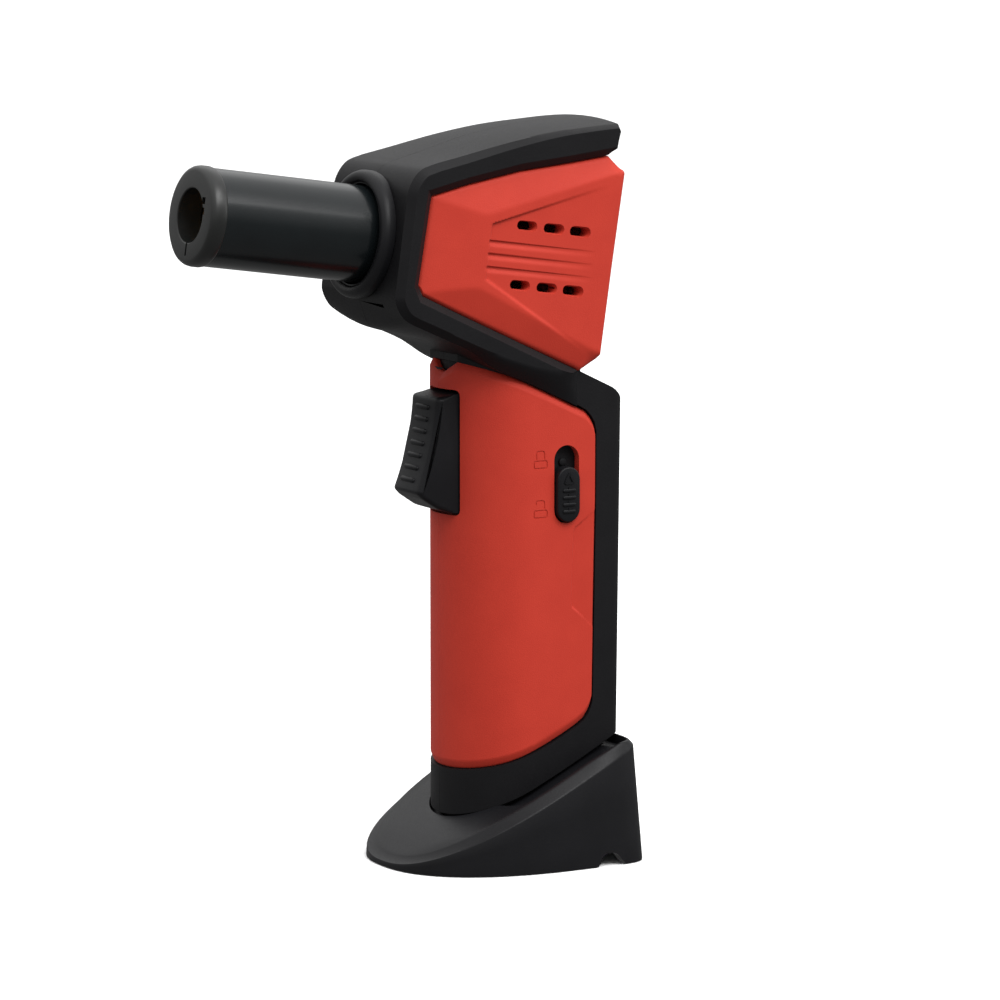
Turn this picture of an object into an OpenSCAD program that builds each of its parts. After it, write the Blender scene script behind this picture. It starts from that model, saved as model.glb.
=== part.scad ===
/* [Handle] */
// Half the handle's width, which is also the radius of its rounded front
grip_radius = 16; // [15.8:0.1:16.2]
// X of the handle's flat rear face
spine_rear_x = 24.6; // [24.4:0.1:24.8]
// Thickness of the red handle shells
grip_wall = 2; // [1.8:0.1:2]
// Thickness of the black body wall behind the red shells
frame_wall = 2.6; // [2.4:0.1:2.6]

/* [Head] */
// Nose-up tilt of the head and the nozzle, in degrees
head_tilt = 8; // [7.5:0.1:8.5]
// Half the head's width at its flat side lands
head_half_width = 19; // [18.8:0.1:19.2]
// Thickness of the red head shells, as a share of their outline
panel_wall_share = 0.09; // [0.08:0.01:0.1]

/* [Nozzle] */
// Outer radius of the nozzle tube
barrel_radius = 11; // [10.9:0.05:11.1]
// Wall thickness of the nozzle tube
barrel_wall = 1; // [0.9:0.05:1]
// Reach of the nozzle tube in front of the head
barrel_reach = 44; // [42:0.5:45]
// Radius of the flame hole
flame_hole_radius = 6.15; // [6:0.05:6.3]

/* [Controls] */
// Travel of the trigger
trigger_travel = 4; // [3:0.5:4]
// Travel of the lock slider
lock_travel = 4.6; // [4:0.2:4.6]

/* [Stand] */
// Length of the stand's footprint
stand_length = 57.5; // [56.5:0.5:60]
// Width of the stand's footprint
stand_width = 53.4; // [52:0.2:56]
// Lean of the stand's side walls, in degrees
stand_draft = 3.8; // [3.6:0.1:4.2]

/* [Hidden] */
$fn = 64;

black = [0.09, 0.09, 0.10];
red = [0.72, 0.12, 0.08];
brass = [0.78, 0.62, 0.30];
steel = [0.72, 0.72, 0.74];
white_plastic = [0.88, 0.88, 0.84];

// Gap between a red shell and the black body round it
shell_gap = 0.2;
// A cut reaches this far past the surface it opens
cut = 1;
// Larger than any width of the part, for cuts right through
far = 60;

// Handle
grip_centre_x = 1.9;
spine_corner_radius = 1.6;
recess_inset = grip_wall + shell_gap;
cavity_inset = recess_inset + frame_wall;
spigot_inset = 2.8;
spigot_bottom_z = 6;
spigot_floor = 2.4;
spigot_top_z = 28;
cavity_top_z = 125;
// Height of the red shell's lower edge above the black foot's lower edge

// Head
head_origin = [-33.2, 0, 145.9];
crown_half_width = 17.2;
head_cavity_half_width = 16.6;
head_cavity_share = 0.9;
head_centre = [28, 2];
panel_centre = [31, 0];
panel_edge_half_width = 17.7;
panel_face_half_width = 19.2;

// Nozzle, along the head's own axis: negative is towards the flame
collar_radius = 14.6;
collar_bore = barrel_radius + 0.5;
collar_sleeve_radius = 12.4;
collar_sleeve_length = 5;
collar_thickness = 3.3;
barrel_rear_u = 14;
tip_radius = 11.3;
tip_length = 3.5;
burner_radius = 6.3;
burner_bore = 5.5;
burner_front_u = -38.2;
burner_rear_u = 12;
jet_radius = 2.5;
spark_w = 8.1;
insulator_radius = 1.5;
electrode_radius = 0.5;
running_gap = 0.05;

// Trigger and lock
trigger_slot_half_width = 6.9;
trigger_slot_z = [81.2, 109.9];
trigger_half_width = 6.6;
trigger_rear_x = -7;
trigger_finger_half_width = 6.2;
lock_x = 10.5;
lock_slot_z = [78.9, 97];
lock_slot_radius = 3.3;
lock_pad_z = [79.3, 92.1];
lock_pad_radius = 3;
shank_half_width = 1.5;
shank_z = [82, 86.2];

// Fuel system
tank_inset = cavity_inset + 0.6;
tank_wall = 1.6;
tank_z = [16, 72];
lid_thickness = 2.6;
valve_x = 15;
valve_radius = 2.6;
valve_foot_radius = 1.6;
wheel_radius = 10.3;
wheel_z = [78, 81.5];
pivot = [2.5, 0, 86.9];
pin_radius = 1;
pin_half_length = 4.6;
post_inner_y = 3;
refill_x = 8;
refill_bore = 2.2;
refill_inner_bore = 1.9;
piezo_z = 104;
piezo_x = [-2.7, 17];
plunger_radius = 2.8;
plunger_rear_x = 4;

// Stand
stand_centre_x = 9;
stand_top_z = 34;
stand_wall = 2.4;
wall_plane = [15.5, 0.478];
crest_plane = [17.75, 0.503];
crest_top_z = 28.2;
// Inset of the top surface's edge from the wall: in front, behind and beside
crest_insets = [2.4, 0.7, 2.4];
socket_gap = 0.4;
socket_wall = 2;
socket_floor = 2.4;
rib_thickness = 2;
rib_height = 4.6;

// Screws through the body halves
screw_radius = 1.2;
screw_head_radius = 2;
boss_radius = 2.5;

// Shared shapes

// Extrudes a side outline, given in X and Z, across the part
module side_prism(outline, half_width) {
    rotate([90, 0, 0])
        linear_extrude(2 * half_width, center = true)
            polygon(outline);
}

// Keeps one side of the middle plane: -1 is the left, 1 the right
module one_side(side) {
    intersection() {
        children();
        translate([-100, side < 0 ? -far : 0, -far])
            cube([200, far, 250]);
    }
}

// Places its children in the head's tilted frame, with the nozzle along X
module in_head() {
    translate(head_origin)
        rotate([0, head_tilt, 0])
            children();
}

// A rod along X from one station to another
module rod_x(from, to, radius) {
    translate([from, 0, 0])
        rotate([0, 90, 0])
            cylinder(h = to - from, r = radius);
}

// A rod along Y from one station to another
module rod_y(from, to, radius) {
    translate([0, to, 0])
        rotate([90, 0, 0])
            cylinder(h = to - from, r = radius);
}

// A tube along X
module tube_x(from, to, outer, inner) {
    difference() {
        rod_x(from, to, outer);
        rod_x(from - cut, to + cut, inner);
    }
}

// An upright slot with round ends, cut across Y
module upright_slot(low, high, radius, from, to) {
    for (z = [low + radius, high - radius])
        translate([0, 0, z])
            rod_y(from, to, radius);
    translate([-radius, from, low + radius])
        cube([2 * radius, to - from, high - low - 2 * radius]);
}

// Moves each point of an outline away from a centre by a factor
function grown(points, centre, factor) = [for (p = points) centre + (p - centre) * factor];

// Handle section, inset by a distance
module handle_section(inset) {
    half = grip_radius - inset;
    corner = max(spine_corner_radius - inset, 0);
    corner_x = spine_rear_x - inset - corner;
    translate([grip_centre_x, 0])
        circle(r = half);
    translate([grip_centre_x, -half])
        square([corner_x - grip_centre_x, 2 * half]);
    if (corner > 0) {
        for (side = [-1, 1])
            translate([corner_x, side * (half - corner)])
                circle(r = corner);
        translate([corner_x - cut, corner - half])
            square([corner + cut, 2 * (half - corner)]);
    }
}

module handle_column(inset, low, high) {
    translate([0, 0, low])
        linear_extrude(high - low)
            handle_section(inset);
}

// Lower edge of the black foot: nearly level in front, sloped behind
function foot_edge(x) = 16.9 + 0.44 * x + 0.0025 * x * x;

// Lower edge of the red shells, which turns up a little in front
function grip_edge(x) = 25.5 + 0.35 * x + 0.0075 * x * x;

// Height of a sloped plane of the stand at an X, from its height over the middle and its slope
function on_slope(plane, x) = plane[0] + plane[1] * x;

// Top surface of the stand, level behind
function stand_surface(x) = min(on_slope(crest_plane, x), crest_top_z);

edge_step = 3;
handle_front_x = -15;
handle_outline = concat(
    [for (x = [handle_front_x : edge_step : 27]) [x, foot_edge(x)]],
    [[27, 102.6], [24.6, 106.5], [23.7, 108], [22.3, 109.6], [14.3, 113.8], [handle_front_x, 121.4]]
);
grip_outline = concat(
    [for (x = [handle_front_x : edge_step : 12]) [x, grip_edge(x)]],
    [[13.2, 31.4], [15.3, 32.8], [17.1, 35.7], [17.6, 39.4], [18.4, 84], [18.4, 99.5], [17.9, 101.8],
     [17, 103.3], [15.4, 104.8], [12.9, 106.2], [6, 109.3], [-4, 113.5], [-12.9, 116.5], [-14, 113.8],
     [handle_front_x, 113.6]]
);
grip_centre = [1, 70];
grip_grow = 1.0035;

head_outline = [
    [0, -12.9], [2, -16.8], [5.6, -18.6], [48.6, -30.1], [50.6, -28.2], [51.2, -25.5], [53, 27.8],
    [52.6, 31.9], [46.6, 30.8], [36.3, 28.3], [26.2, 25.2], [13.3, 20.4], [6.4, 17.9], [2.8, 16],
    [1, 13.6], [0, 10.6]
];
// Arch of the crown above its side creases
crown_arch = [
    [7, 15], [7, 18.6], [13.3, 21.2], [26.2, 26.3], [36.3, 29.5], [46.6, 32], [53.2, 33.1], [53.4, 28]
];
crown_arch_half_width = 7;
head_land_outline = [
    [1, -12.2], [2.9, -15.8], [6, -17.4], [48, -28.6], [49.8, -27], [50.6, -25.3], [52.4, 27.6], [52.2, 30],
    [45.6, 29.2], [35.3, 26.8], [25.2, 23.7], [17.7, 21.1], [10.3, 18.5], [5.4, 16.4], [2.5, 13.9],
    [1.1, 10.4]
];
panel_outline = [
    [5.7, -9.5], [7.1, -11.8], [16.8, -14.9], [33.3, -20], [50.3, -25.1], [54.4, -22], [54.6, 0],
    [55, 21.5], [51, 24.4], [40.7, 21.6], [28.4, 18.5], [15.4, 14.1], [6.3, 10.5]
];
panel_face = [[20.2, -8.2], [53, -20.2], [53.4, 20.7], [20, 7.3]];
wedge_recess = [[21.9, -6.4], [47.5, -18.6], [49.5, 16.6], [22.1, 6]];
crown_screw = [30, 21.9];
chin_screw = [20, -19.4];
handle_screw = [16.5, 96];
spigot_screw = [15.2, 12.2];

// Stand

function stand_edge(grow, angle) =
    let (c = cos(angle), s = sin(angle),
         front = stand_length - 28 + stand_centre_x + grow,
         rear = 28 - stand_centre_x + grow,
         half = stand_width / 2 + grow)
    c < 0
        ? [stand_centre_x - front * pow(-c, 0.84), half * sign(s) * pow(abs(s), 0.84)]
        : [stand_centre_x + rear * pow(c, 0.28), half * sign(s) * pow(abs(s), 0.28)];

module stand_solid(grow, low) {
    slab = 0.01;
    hull() {
        translate([0, 0, low])
            linear_extrude(slab)
                polygon([for (a = [0 : 6 : 354]) stand_edge(grow, a)]);
        translate([0, 0, stand_top_z])
            linear_extrude(slab)
                polygon([for (a = [0 : 6 : 354]) stand_edge(grow - stand_top_z * tan(stand_draft), a)]);
    }
}

// The footprint drawn in onto a sloped plane, by the walls' lean and by an inset in front, behind and beside
module stand_ring(plane, insets) {
    slab = 0.01;
    lean = tan(stand_draft);
    from = 28 - stand_length;
    to = 28;
    front = from + lean * on_slope(plane, from) + insets[0];
    rear = to - lean * stand_surface(to) - insets[1];
    side_inset = lean * on_slope(plane, stand_centre_x) + insets[2];
    scale_x = (rear - front) / (to - from);
    scale_y = 1 - side_inset / (stand_width / 2);
    shift = front - from * scale_x;
    multmatrix([[scale_x, 0, 0, shift], [0, scale_y, 0, 0],
                [plane[1] * scale_x, 0, 1, on_slope(plane, shift)], [0, 0, 0, 1]])
        linear_extrude(slab)
            polygon([for (a = [0 : 6 : 354]) stand_edge(0, a)]);
}

// Leaning walls, then a bevel up to the top surface
module stand_body() {
    slab = 0.01;
    difference() {
        hull() {
            linear_extrude(slab)
                polygon([for (a = [0 : 6 : 354]) stand_edge(0, a)]);
            stand_ring(wall_plane, [0, 0, 0]);
            stand_ring(crest_plane, crest_insets);
        }
        above_surface(0);
    }
}

// Everything above the sloped top surface, lowered by a depth
module above_surface(depth) {
    side_prism(
        concat([for (x = [-40 : 4 : 40]) [x, stand_surface(x) - depth]], [[40, 60], [-40, 60]]),
        far);
}

module stand() {
    notch_x = 16.4;
    notch_radius = 3.4;
    trench_inset = -0.4;
    trench_side_inset = 5.2;
    trench_front_x = -4;
    trench_depth = 2.2;
    deck = 1.8;
    filling_hole_radius = 6;
    color(black)
    difference() {
        union() {
            difference() {
                stand_body();
                difference() {
                    stand_solid(-stand_wall, -cut);
                    above_surface(trench_depth + deck);
                }
            }
            // Sleeve round the foot's socket
            difference() {
                handle_column(spigot_inset - socket_gap - socket_wall, spigot_bottom_z - socket_floor,
                              stand_top_z);
                above_surface(trench_depth);
            }
            // Crossed ribs under the socket's floor, out to the walls
            intersection() {
                stand_body();
                union() {
                    translate([-far, -rib_thickness / 2, 0])
                        cube([2 * far, rib_thickness, rib_height]);
                    translate([-rib_thickness / 2, -far, 0])
                        cube([rib_thickness, 2 * far, rib_height]);
                }
            }
        }
        // Opening under the filling valve
        translate([refill_x, 0, -cut])
            cylinder(h = spigot_bottom_z + 2 * cut, r = filling_hole_radius);
        handle_column(spigot_inset - socket_gap, spigot_bottom_z, stand_top_z + cut);
        // Trench that the foot's lower edge stands in
        intersection() {
            union() {
                handle_column(trench_inset, spigot_bottom_z, stand_top_z + cut);
                intersection() {
                    translate([0, 0, spigot_bottom_z])
                        linear_extrude(stand_top_z)
                            polygon([for (a = [0 : 6 : 354]) stand_edge(-trench_side_inset, a)]);
                    translate([trench_front_x, -far, 0])
                        cube([far, 2 * far, far]);
                }
            }
            above_surface(trench_depth);
        }
        // Notch through each side wall
        translate([notch_x, 0, 0])
            rod_y(-far, far, notch_radius);
    }
}

// Body halves

module trigger_slot(from_x, to_x, gap) {
    height = trigger_slot_z[1] - trigger_slot_z[0];
    translate([from_x, -trigger_slot_half_width - gap, trigger_slot_z[0] - gap])
        cube([to_x - from_x, 2 * (trigger_slot_half_width + gap), height + 2 * gap]);
}

module panel_space() {
    side_prism(grown(panel_outline, panel_centre, 1.009), far);
    // Notch between the crown's rear end and the red shells
    side_prism([[50.2, 24], [56, 31], [56, 20]], far);
}

module handle_body() {
    difference() {
        union() {
            intersection() {
                handle_column(0, 0, cavity_top_z);
                side_prism(handle_outline, far);
            }
            handle_column(spigot_inset, spigot_bottom_z, spigot_top_z);
        }
        // Recess for the red shells
        difference() {
            intersection() {
                handle_column(-cut, 0, cavity_top_z);
                side_prism(grown(grip_outline, grip_centre, grip_grow), far);
            }
            handle_column(recess_inset, 0, cavity_top_z);
        }
    }
}

// Space inside the handle, open at the top in front of the roof
module handle_cavity() {
    roof_x = 10.5;
    intersection() {
        handle_column(cavity_inset, spigot_bottom_z + spigot_floor, cavity_top_z);
        side_prism([[-30, 0], [30, 0], [30, 104.4], [22, 104.4], [19, 109.2], [roof_x, 112.6],
                    [roof_x, cavity_top_z + cut], [-30, cavity_top_z + cut]], far);
    }
}

module head_body() {
    difference() {
        hull() {
            side_prism(head_outline, crown_half_width);
            side_prism(head_land_outline, head_half_width);
            side_prism(crown_arch, crown_arch_half_width);
        }
        side_prism(grown(head_outline, head_centre, head_cavity_share), head_cavity_half_width);
        rod_x(-cut, collar_sleeve_length + cut, collar_sleeve_radius + shell_gap);
    }
}

module screw_axis_x(place) {
    translate([place[0], 0, place[1]])
        children();
}

module bosses() {
    in_head()
        for (place = [crown_screw, chin_screw])
            screw_axis_x(place)
                rod_y(-head_cavity_half_width - cut, head_cavity_half_width + cut, boss_radius);
    inner = grip_radius - cavity_inset;
    screw_axis_x(handle_screw)
        rod_y(-inner - cut, inner + cut, boss_radius);
    screw_axis_x(spigot_screw)
        rod_y(-inner - cut, inner + cut, boss_radius);
}

module screw_holes() {
    blind = -11;
    in_head()
        for (place = [crown_screw, chin_screw])
            screw_axis_x(place) {
                rod_y(blind, far, screw_radius + running_gap);
                rod_y(head_half_width - 2, far, screw_head_radius + shell_gap);
            }
    screw_axis_x(handle_screw) {
        rod_y(-8, far, screw_radius + running_gap);
        rod_y(11.9, far, screw_head_radius + shell_gap);
    }
    screw_axis_x(spigot_screw) {
        rod_y(-8, far, screw_radius + running_gap);
        rod_y(11.4, far, screw_head_radius + shell_gap);
    }
}

module frame_half(side) {
    cradle_x = 11;
    difference() {
        one_side(side)
            difference() {
                union() {
                    difference() {
                        union() {
                            handle_body();
                            in_head() head_body();
                        }
                        in_head() panel_space();
                        handle_cavity();
                    }
                    bosses();
                    // Cradle that holds the igniter from both sides
                    for (s = [-1, 1])
                        translate([cradle_x, s * 8.1 - 3.4, piezo_z - 5])
                            cube([2, 6.8, 10]);
                }
                screw_holes();
            }
        trigger_slot(-far, -4, 0);
        // Slot of the flame adjuster's wheel
        translate([valve_x, 0, wheel_z[0] - 0.4])
            cylinder(h = wheel_z[1] - wheel_z[0] + 0.8, r = wheel_radius + 0.4);
        // Filling valve's hole in the foot
        translate([refill_x, 0, spigot_bottom_z - cut])
            cylinder(h = spigot_floor + 2 * cut, r = 4.1);
    }
}

module frame_left() {
    bump_z = 92.9;
    color(black) {
        difference() {
            frame_half(-1);
            translate([lock_x - shank_half_width - 0.2, -20, shank_z[0] - 0.3])
                cube([2 * shank_half_width + 0.4, 10, shank_z[1] - shank_z[0] + lock_travel + 0.6]);
        }
        translate([lock_x, 0, bump_z])
            rod_y(-14.3, -13, 0.9);
    }
}

module frame_right() {
    color(black) {
        frame_half(1);
        // Seat of the trigger's return spring
        translate([3.2, -4, 92])
            cube([2, 16, 6]);
    }
}

// Red shells

module grip_half(side) {
    one_side(side)
        difference() {
            intersection() {
                difference() {
                    handle_column(0, 0, cavity_top_z);
                    handle_column(grip_wall, -cut, cavity_top_z + cut);
                }
                side_prism(grip_outline, far);
            }
            trigger_slot(-far, -4, 0.1);
        }
}

module grip_left() {
    color(red)
    difference() {
        grip_half(-1);
        translate([lock_x, 0, 0])
            upright_slot(lock_slot_z[0], lock_slot_z[1], lock_slot_radius, -20, -10);
    }
}

module grip_right() {
    color(red)
        grip_half(1);
}

module head_panel(side) {
    groove_w = [1.75, -1.2, -4.15];
    groove_radius = 0.45;
    vent_u = [31, 38, 44.9];
    vent_w = [6.4, -7.1];
    vent_half_length = 1.5;
    vent_radius = 0.95;
    color(red)
    in_head()
    one_side(side)
        difference() {
            hull() {
                side_prism(panel_outline, panel_edge_half_width);
                side_prism(panel_face, panel_face_half_width);
            }
            side_prism(grown(panel_outline, panel_centre, 1 - panel_wall_share), panel_edge_half_width - 2);
            // Shallow recess round the vents
            difference() {
                side_prism(wedge_recess, far);
                side_prism(wedge_recess, panel_face_half_width - 0.4);
            }
            for (w = groove_w)
                translate([0, side * (panel_face_half_width - 0.4), w])
                    rod_x(22, 47, groove_radius);
            for (u = vent_u, w = vent_w) {
                for (end = [-1, 1])
                    translate([u + end * vent_half_length, 0, w])
                        rod_y(-far, far, vent_radius);
                translate([u - vent_half_length, -far, w - vent_radius])
                    cube([2 * vent_half_length, 2 * far, 2 * vent_radius]);
            }
            // Way in for the nozzle tube and its holder
            rod_x(0, 12, 14);
            // Way down into the handle
            rotate([0, -head_tilt, 0])
                translate(-head_origin)
                    translate([-9, -10, 100])
                        cube([20, 20, 24]);
        }
}

module head_panel_left() {
    head_panel(-1);
}

module head_panel_right() {
    head_panel(1);
}

// Nozzle

module collar() {
    color(black)
    in_head()
        difference() {
            union() {
                rod_x(-collar_thickness + 1, 0, collar_radius);
                rod_x(-collar_thickness, 0, collar_radius - 1);
                rod_x(-cut, collar_sleeve_length, collar_sleeve_radius);
            }
            rod_x(-far, far, collar_bore);
        }
}

module barrel() {
    color(black)
    in_head()
        tube_x(tip_length - barrel_reach, barrel_rear_u, barrel_radius, barrel_radius - barrel_wall);
}

module tip_ring() {
    plug = 5;
    slot_half = 0.35;
    slot_depth = 2.5;
    color(black)
    in_head()
        difference() {
            union() {
                rod_x(0.6 - barrel_reach, tip_length - barrel_reach, tip_radius);
                rod_x(-barrel_reach, 0, tip_radius - 1.2);
            }
            // Only the plug stays inside the nozzle tube
            rod_x(tip_length - barrel_reach + plug, cut, far);
            tube_x(tip_length - barrel_reach, cut, far, barrel_radius - barrel_wall - 0.1);
            rod_x(-far, far, flame_hole_radius);
            translate([-far, -slot_half, -flame_hole_radius - slot_depth])
                cube([2 * far, 2 * slot_half, flame_hole_radius]);
            tube_x(tip_length - barrel_reach + 2, cut, burner_radius + 3, cut);
        }
}

module burner_tube() {
    air_hole_u = 4;
    air_hole_radius = 1.4;
    color(brass)
    in_head()
        difference() {
            tube_x(burner_front_u, burner_rear_u, burner_radius, burner_bore);
            for (turn = [0, 90])
                translate([air_hole_u, 0, 0])
                    rotate([turn, 0, 0])
                        rod_y(-far, far, air_hole_radius);
        }
}

module diffuser() {
    hole_ring = 3.4;
    hole_radius = 0.7;
    holes = 8;
    front_u = burner_front_u + 2;
    color(brass)
    in_head()
        difference() {
            rod_x(front_u, front_u + 3, burner_bore - running_gap);
            rod_x(front_u - cut, front_u + 4, 1.4);
            for (k = [0 : holes - 1])
                rotate([k * 360 / holes, 0, 0])
                    translate([0, 0, hole_ring])
                        rod_x(front_u - cut, front_u + 4, hole_radius);
        }
}

module jet_holder() {
    flange_u = barrel_rear_u;
    rear_u = 20;
    color(steel)
    in_head()
        difference() {
            union() {
                rod_x(8, flange_u, barrel_radius - barrel_wall - 0.1);
                rod_x(flange_u, rear_u, 11.5);
            }
            rod_x(0, burner_rear_u, burner_radius + running_gap);
            rod_x(0, far, jet_radius + running_gap);
            translate([0, 0, spark_w])
                rod_x(0, far, insulator_radius + running_gap);
        }
}

module gas_jet() {
    color(brass)
    in_head()
        difference() {
            union() {
                rod_x(10.6, 22, jet_radius);
                rod_x(20, 22, 3.4);
                rod_x(22, 27, 1.6);
            }
            rod_x(11.6, 28, 0.8);
            rod_x(10, 12, 0.25);
        }
}

module insulator() {
    color(white_plastic)
    in_head()
        translate([0, 0, spark_w])
            tube_x(-32, 24, insulator_radius, electrode_radius + running_gap);
}

module electrode() {
    color(steel)
    in_head()
        translate([0, 0, spark_w])
            rod_x(-37.4, 26, electrode_radius);
}

// A round cord swept along points, with a ring of sides round each
function direction(points, i) =
    let (a = points[max(i - 1, 0)], b = points[min(i + 1, len(points) - 1)])
    (b - a) / norm(b - a);

module swept_cord(points, radius, sides, side_axis) {
    rings = len(points);
    corners = [for (i = [0 : rings - 1])
        let (d = direction(points, i),
             across = cross(d, side_axis) / norm(cross(d, side_axis)),
             up = cross(across, d))
        for (k = [0 : sides - 1])
            points[i] + radius * (cos(k * 360 / sides) * across + sin(k * 360 / sides) * up)];
    walls = [for (i = [0 : rings - 2], k = [0 : sides - 1])
        [i * sides + k, (i + 1) * sides + k, (i + 1) * sides + (k + 1) % sides, i * sides + (k + 1) % sides]];
    polyhedron(corners, concat(
        [[for (k = [0 : sides - 1]) k]],
        walls,
        [[for (k = [sides - 1 : -1 : 0]) (rings - 1) * sides + k]]));
}

wire_points = [
    [-6.3, 0, 150.3], [-4, -0.2, 150.3], [-1.5, -1, 149.4], [0, -2.4, 147], [0.4, -3, 143], [0.6, -3, 136],
    [1.5, -3, 128], [4, -2.4, 121], [7, -1, 116], [8.4, 0, 112.8], [10.4, 0, 110.8], [12.6, 0, 110],
    [14, 0, 109.6], [14.4, 0, 108.7]
];
hose_points = [
    [valve_x, 4.5, 76.2], [valve_x, 6.2, 76.2], [14.2, 7.4, 76.2], [12.8, 7.8, 76.2], [4, 7.8, 76.2],
    [1.8, 7.8, 77], [0.6, 7.8, 78.6], [0.5, 7.8, 82], [0.5, 7.8, 110], [0.5, 7.4, 118],
    [0.5, 6, 125], [0.6, 4, 131], [0.6, 2, 136], [0, 0.6, 139.6], [-1.6, 0, 141.2], [-4, 0, 141.8],
    [-6, 0, 142.1]
];

module ignition_wire() {
    color("dimgray")
        swept_cord(wire_points, 0.6, 8, [0, 1, 0]);
}

module gas_hose() {
    color(white_plastic)
        swept_cord(hose_points, 1.45, 10, [1, 1, -1]);
}

// Fuel tank and valves

module tank() {
    color(white_plastic)
    difference() {
        handle_column(tank_inset, tank_z[0], tank_z[1]);
        handle_column(tank_inset + tank_wall, tank_z[0] + tank_wall, tank_z[1] + cut);
        translate([refill_x, 0, tank_z[0] - cut])
            cylinder(h = tank_wall + 2 * cut, r = 3.25);
    }
}

module tank_lid() {
    post_half_x = 1.6;
    top_z = tank_z[1] + lid_thickness;
    color(white_plastic)
    difference() {
        union() {
            handle_column(tank_inset, tank_z[1], top_z);
            handle_column(tank_inset + tank_wall + 0.1, tank_z[1] - 2, top_z);
            for (y = [-pin_half_length, post_inner_y])
                translate([pivot[0] - post_half_x, y, top_z - cut])
                    cube([2 * post_half_x, pin_half_length - post_inner_y, pivot[2] - top_z + 3]);
        }
        translate([valve_x, 0, tank_z[1]])
            cylinder(h = lid_thickness + cut, r = valve_radius + running_gap);
        translate([valve_x, 0, tank_z[1] - 3])
            cylinder(h = 4, r = valve_foot_radius + running_gap);
        translate(pivot)
            rod_y(-far, far, pin_radius + 0.02);
    }
}

module valve_body() {
    color(brass)
    difference() {
        union() {
            translate([valve_x, 0, 66])
                cylinder(h = 8, r = valve_foot_radius);
            translate([valve_x, 0, tank_z[1]])
                cylinder(h = 86 - tank_z[1], r = valve_radius);
            translate([valve_x, 0, 76.2])
                rod_y(0, 4.5, 1.2);
        }
        translate([valve_x, 0, 80])
            cylinder(h = 7, r = 1.35);
        translate([valve_x, 0, 64])
            cylinder(h = 18, r = 0.8);
        translate([valve_x, 0, 76.2])
            rod_y(0, 5, 0.6);
    }
}

module valve_stem() {
    color(steel) {
        translate([valve_x, 0, 82])
            cylinder(h = 9, r = 1.3);
        translate([valve_x, 0, 89.2])
            cylinder(h = 1, r = 2.4);
    }
}

module valve_lever() {
    beam_low = 87.4;
    beam_height = 1.2;
    beam_half = 2.6;
    color(steel)
    difference() {
        union() {
            translate([-2.7, -beam_half, beam_low])
                cube([20.1, 2 * beam_half, beam_height]);
            translate(pivot)
                rod_y(-beam_half, beam_half, 1.7);
        }
        translate(pivot)
            rod_y(-far, far, pin_radius + running_gap);
        translate([valve_x - 1.9, -1.55, beam_low - cut])
            cube([5, 3.1, beam_height + 2 * cut]);
    }
}

module lever_pin() {
    color(steel)
        translate(pivot)
            rod_y(-pin_half_length, pin_half_length, pin_radius);
}

module flame_adjuster() {
    teeth = 36;
    tooth_radius = 0.5;
    color("black")
    translate([valve_x, 0, wheel_z[0]])
        difference() {
            cylinder(h = wheel_z[1] - wheel_z[0], r = wheel_radius);
            translate([0, 0, -cut])
                cylinder(h = 6, r = valve_radius + running_gap);
            for (k = [0 : teeth - 1])
                rotate(k * 360 / teeth)
                    translate([wheel_radius + 0.1, 0, -cut])
                        cylinder(h = 6, r = tooth_radius, $fn = 16);
        }
}

module refill_valve() {
    color(brass)
    translate([refill_x, 0, 0])
        difference() {
            union() {
                translate([0, 0, 6.4])
                    cylinder(h = 20, r = 3.2);
                translate([0, 0, 6.4])
                    cylinder(h = 2.4, r = 4);
            }
            translate([0, 0, 5])
                cylinder(h = 5.4, r = refill_bore);
            translate([0, 0, 10])
                cylinder(h = 14, r = refill_inner_bore);
            translate([0, 0, 20])
                cylinder(h = 8, r = 0.7);
        }
}

module refill_stem() {
    color(steel)
    translate([refill_x, 0, 0])
        difference() {
            union() {
                translate([0, 0, 10.5])
                    cylinder(h = 7, r = 1);
                translate([0, 0, 11.2])
                    cylinder(h = 2.2, r = refill_inner_bore - running_gap);
            }
            translate([0, 0, 9.5])
                cylinder(h = 3.5, r = 0.45);
        }
}

module refill_seal() {
    color("dimgray")
    translate([refill_x, 0, 15.2])
        rotate_extrude()
            translate([4.15, 0])
                circle(r = 0.75, $fn = 24);
}

// A coil spring along Z, its ends level with the given heights
module coil_spring(low, high, coil_radius, wire_radius, turns) {
    steps = 14;
    count = turns * steps;
    pitch_height = high - low - 2 * wire_radius;
    swept_cord(
        [for (i = [0 : count])
            [coil_radius * cos(i * 360 / steps), coil_radius * sin(i * 360 / steps),
             low + wire_radius + pitch_height * i / count]],
        wire_radius, 6, [0, 0, 1]);
}

module refill_spring() {
    color(steel)
        translate([refill_x, 0, 0])
            coil_spring(13.5, 23.9, 1.55, 0.25, 6);
}

module trigger_spring() {
    color(steel)
        translate([0, 0, 95])
            rotate([0, 90, 0])
                coil_spring(trigger_rear_x + 0.1, 3.1, 2.2, 0.3, 7);
}

// Igniter

module piezo_body() {
    half = 4.5;
    color("ivory")
    difference() {
        translate([piezo_x[0], -half, piezo_z - half])
            cube([piezo_x[1] - piezo_x[0], 2 * half, 2 * half]);
        translate([0, 0, piezo_z])
            rod_x(piezo_x[0] - cut, plunger_rear_x + trigger_travel + shell_gap,
                  plunger_radius + running_gap);
    }
}

module piezo_plunger() {
    color("dimgray")
        translate([0, 0, piezo_z])
            rod_x(trigger_rear_x, plunger_rear_x, plunger_radius);
}

// Trigger and lock

// X of the hollow finger face at a height
function finger_x(z) = let (drop = 107.6 - z) -17.9 - 0.0713 * drop - 0.0084 * drop * drop;

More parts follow.
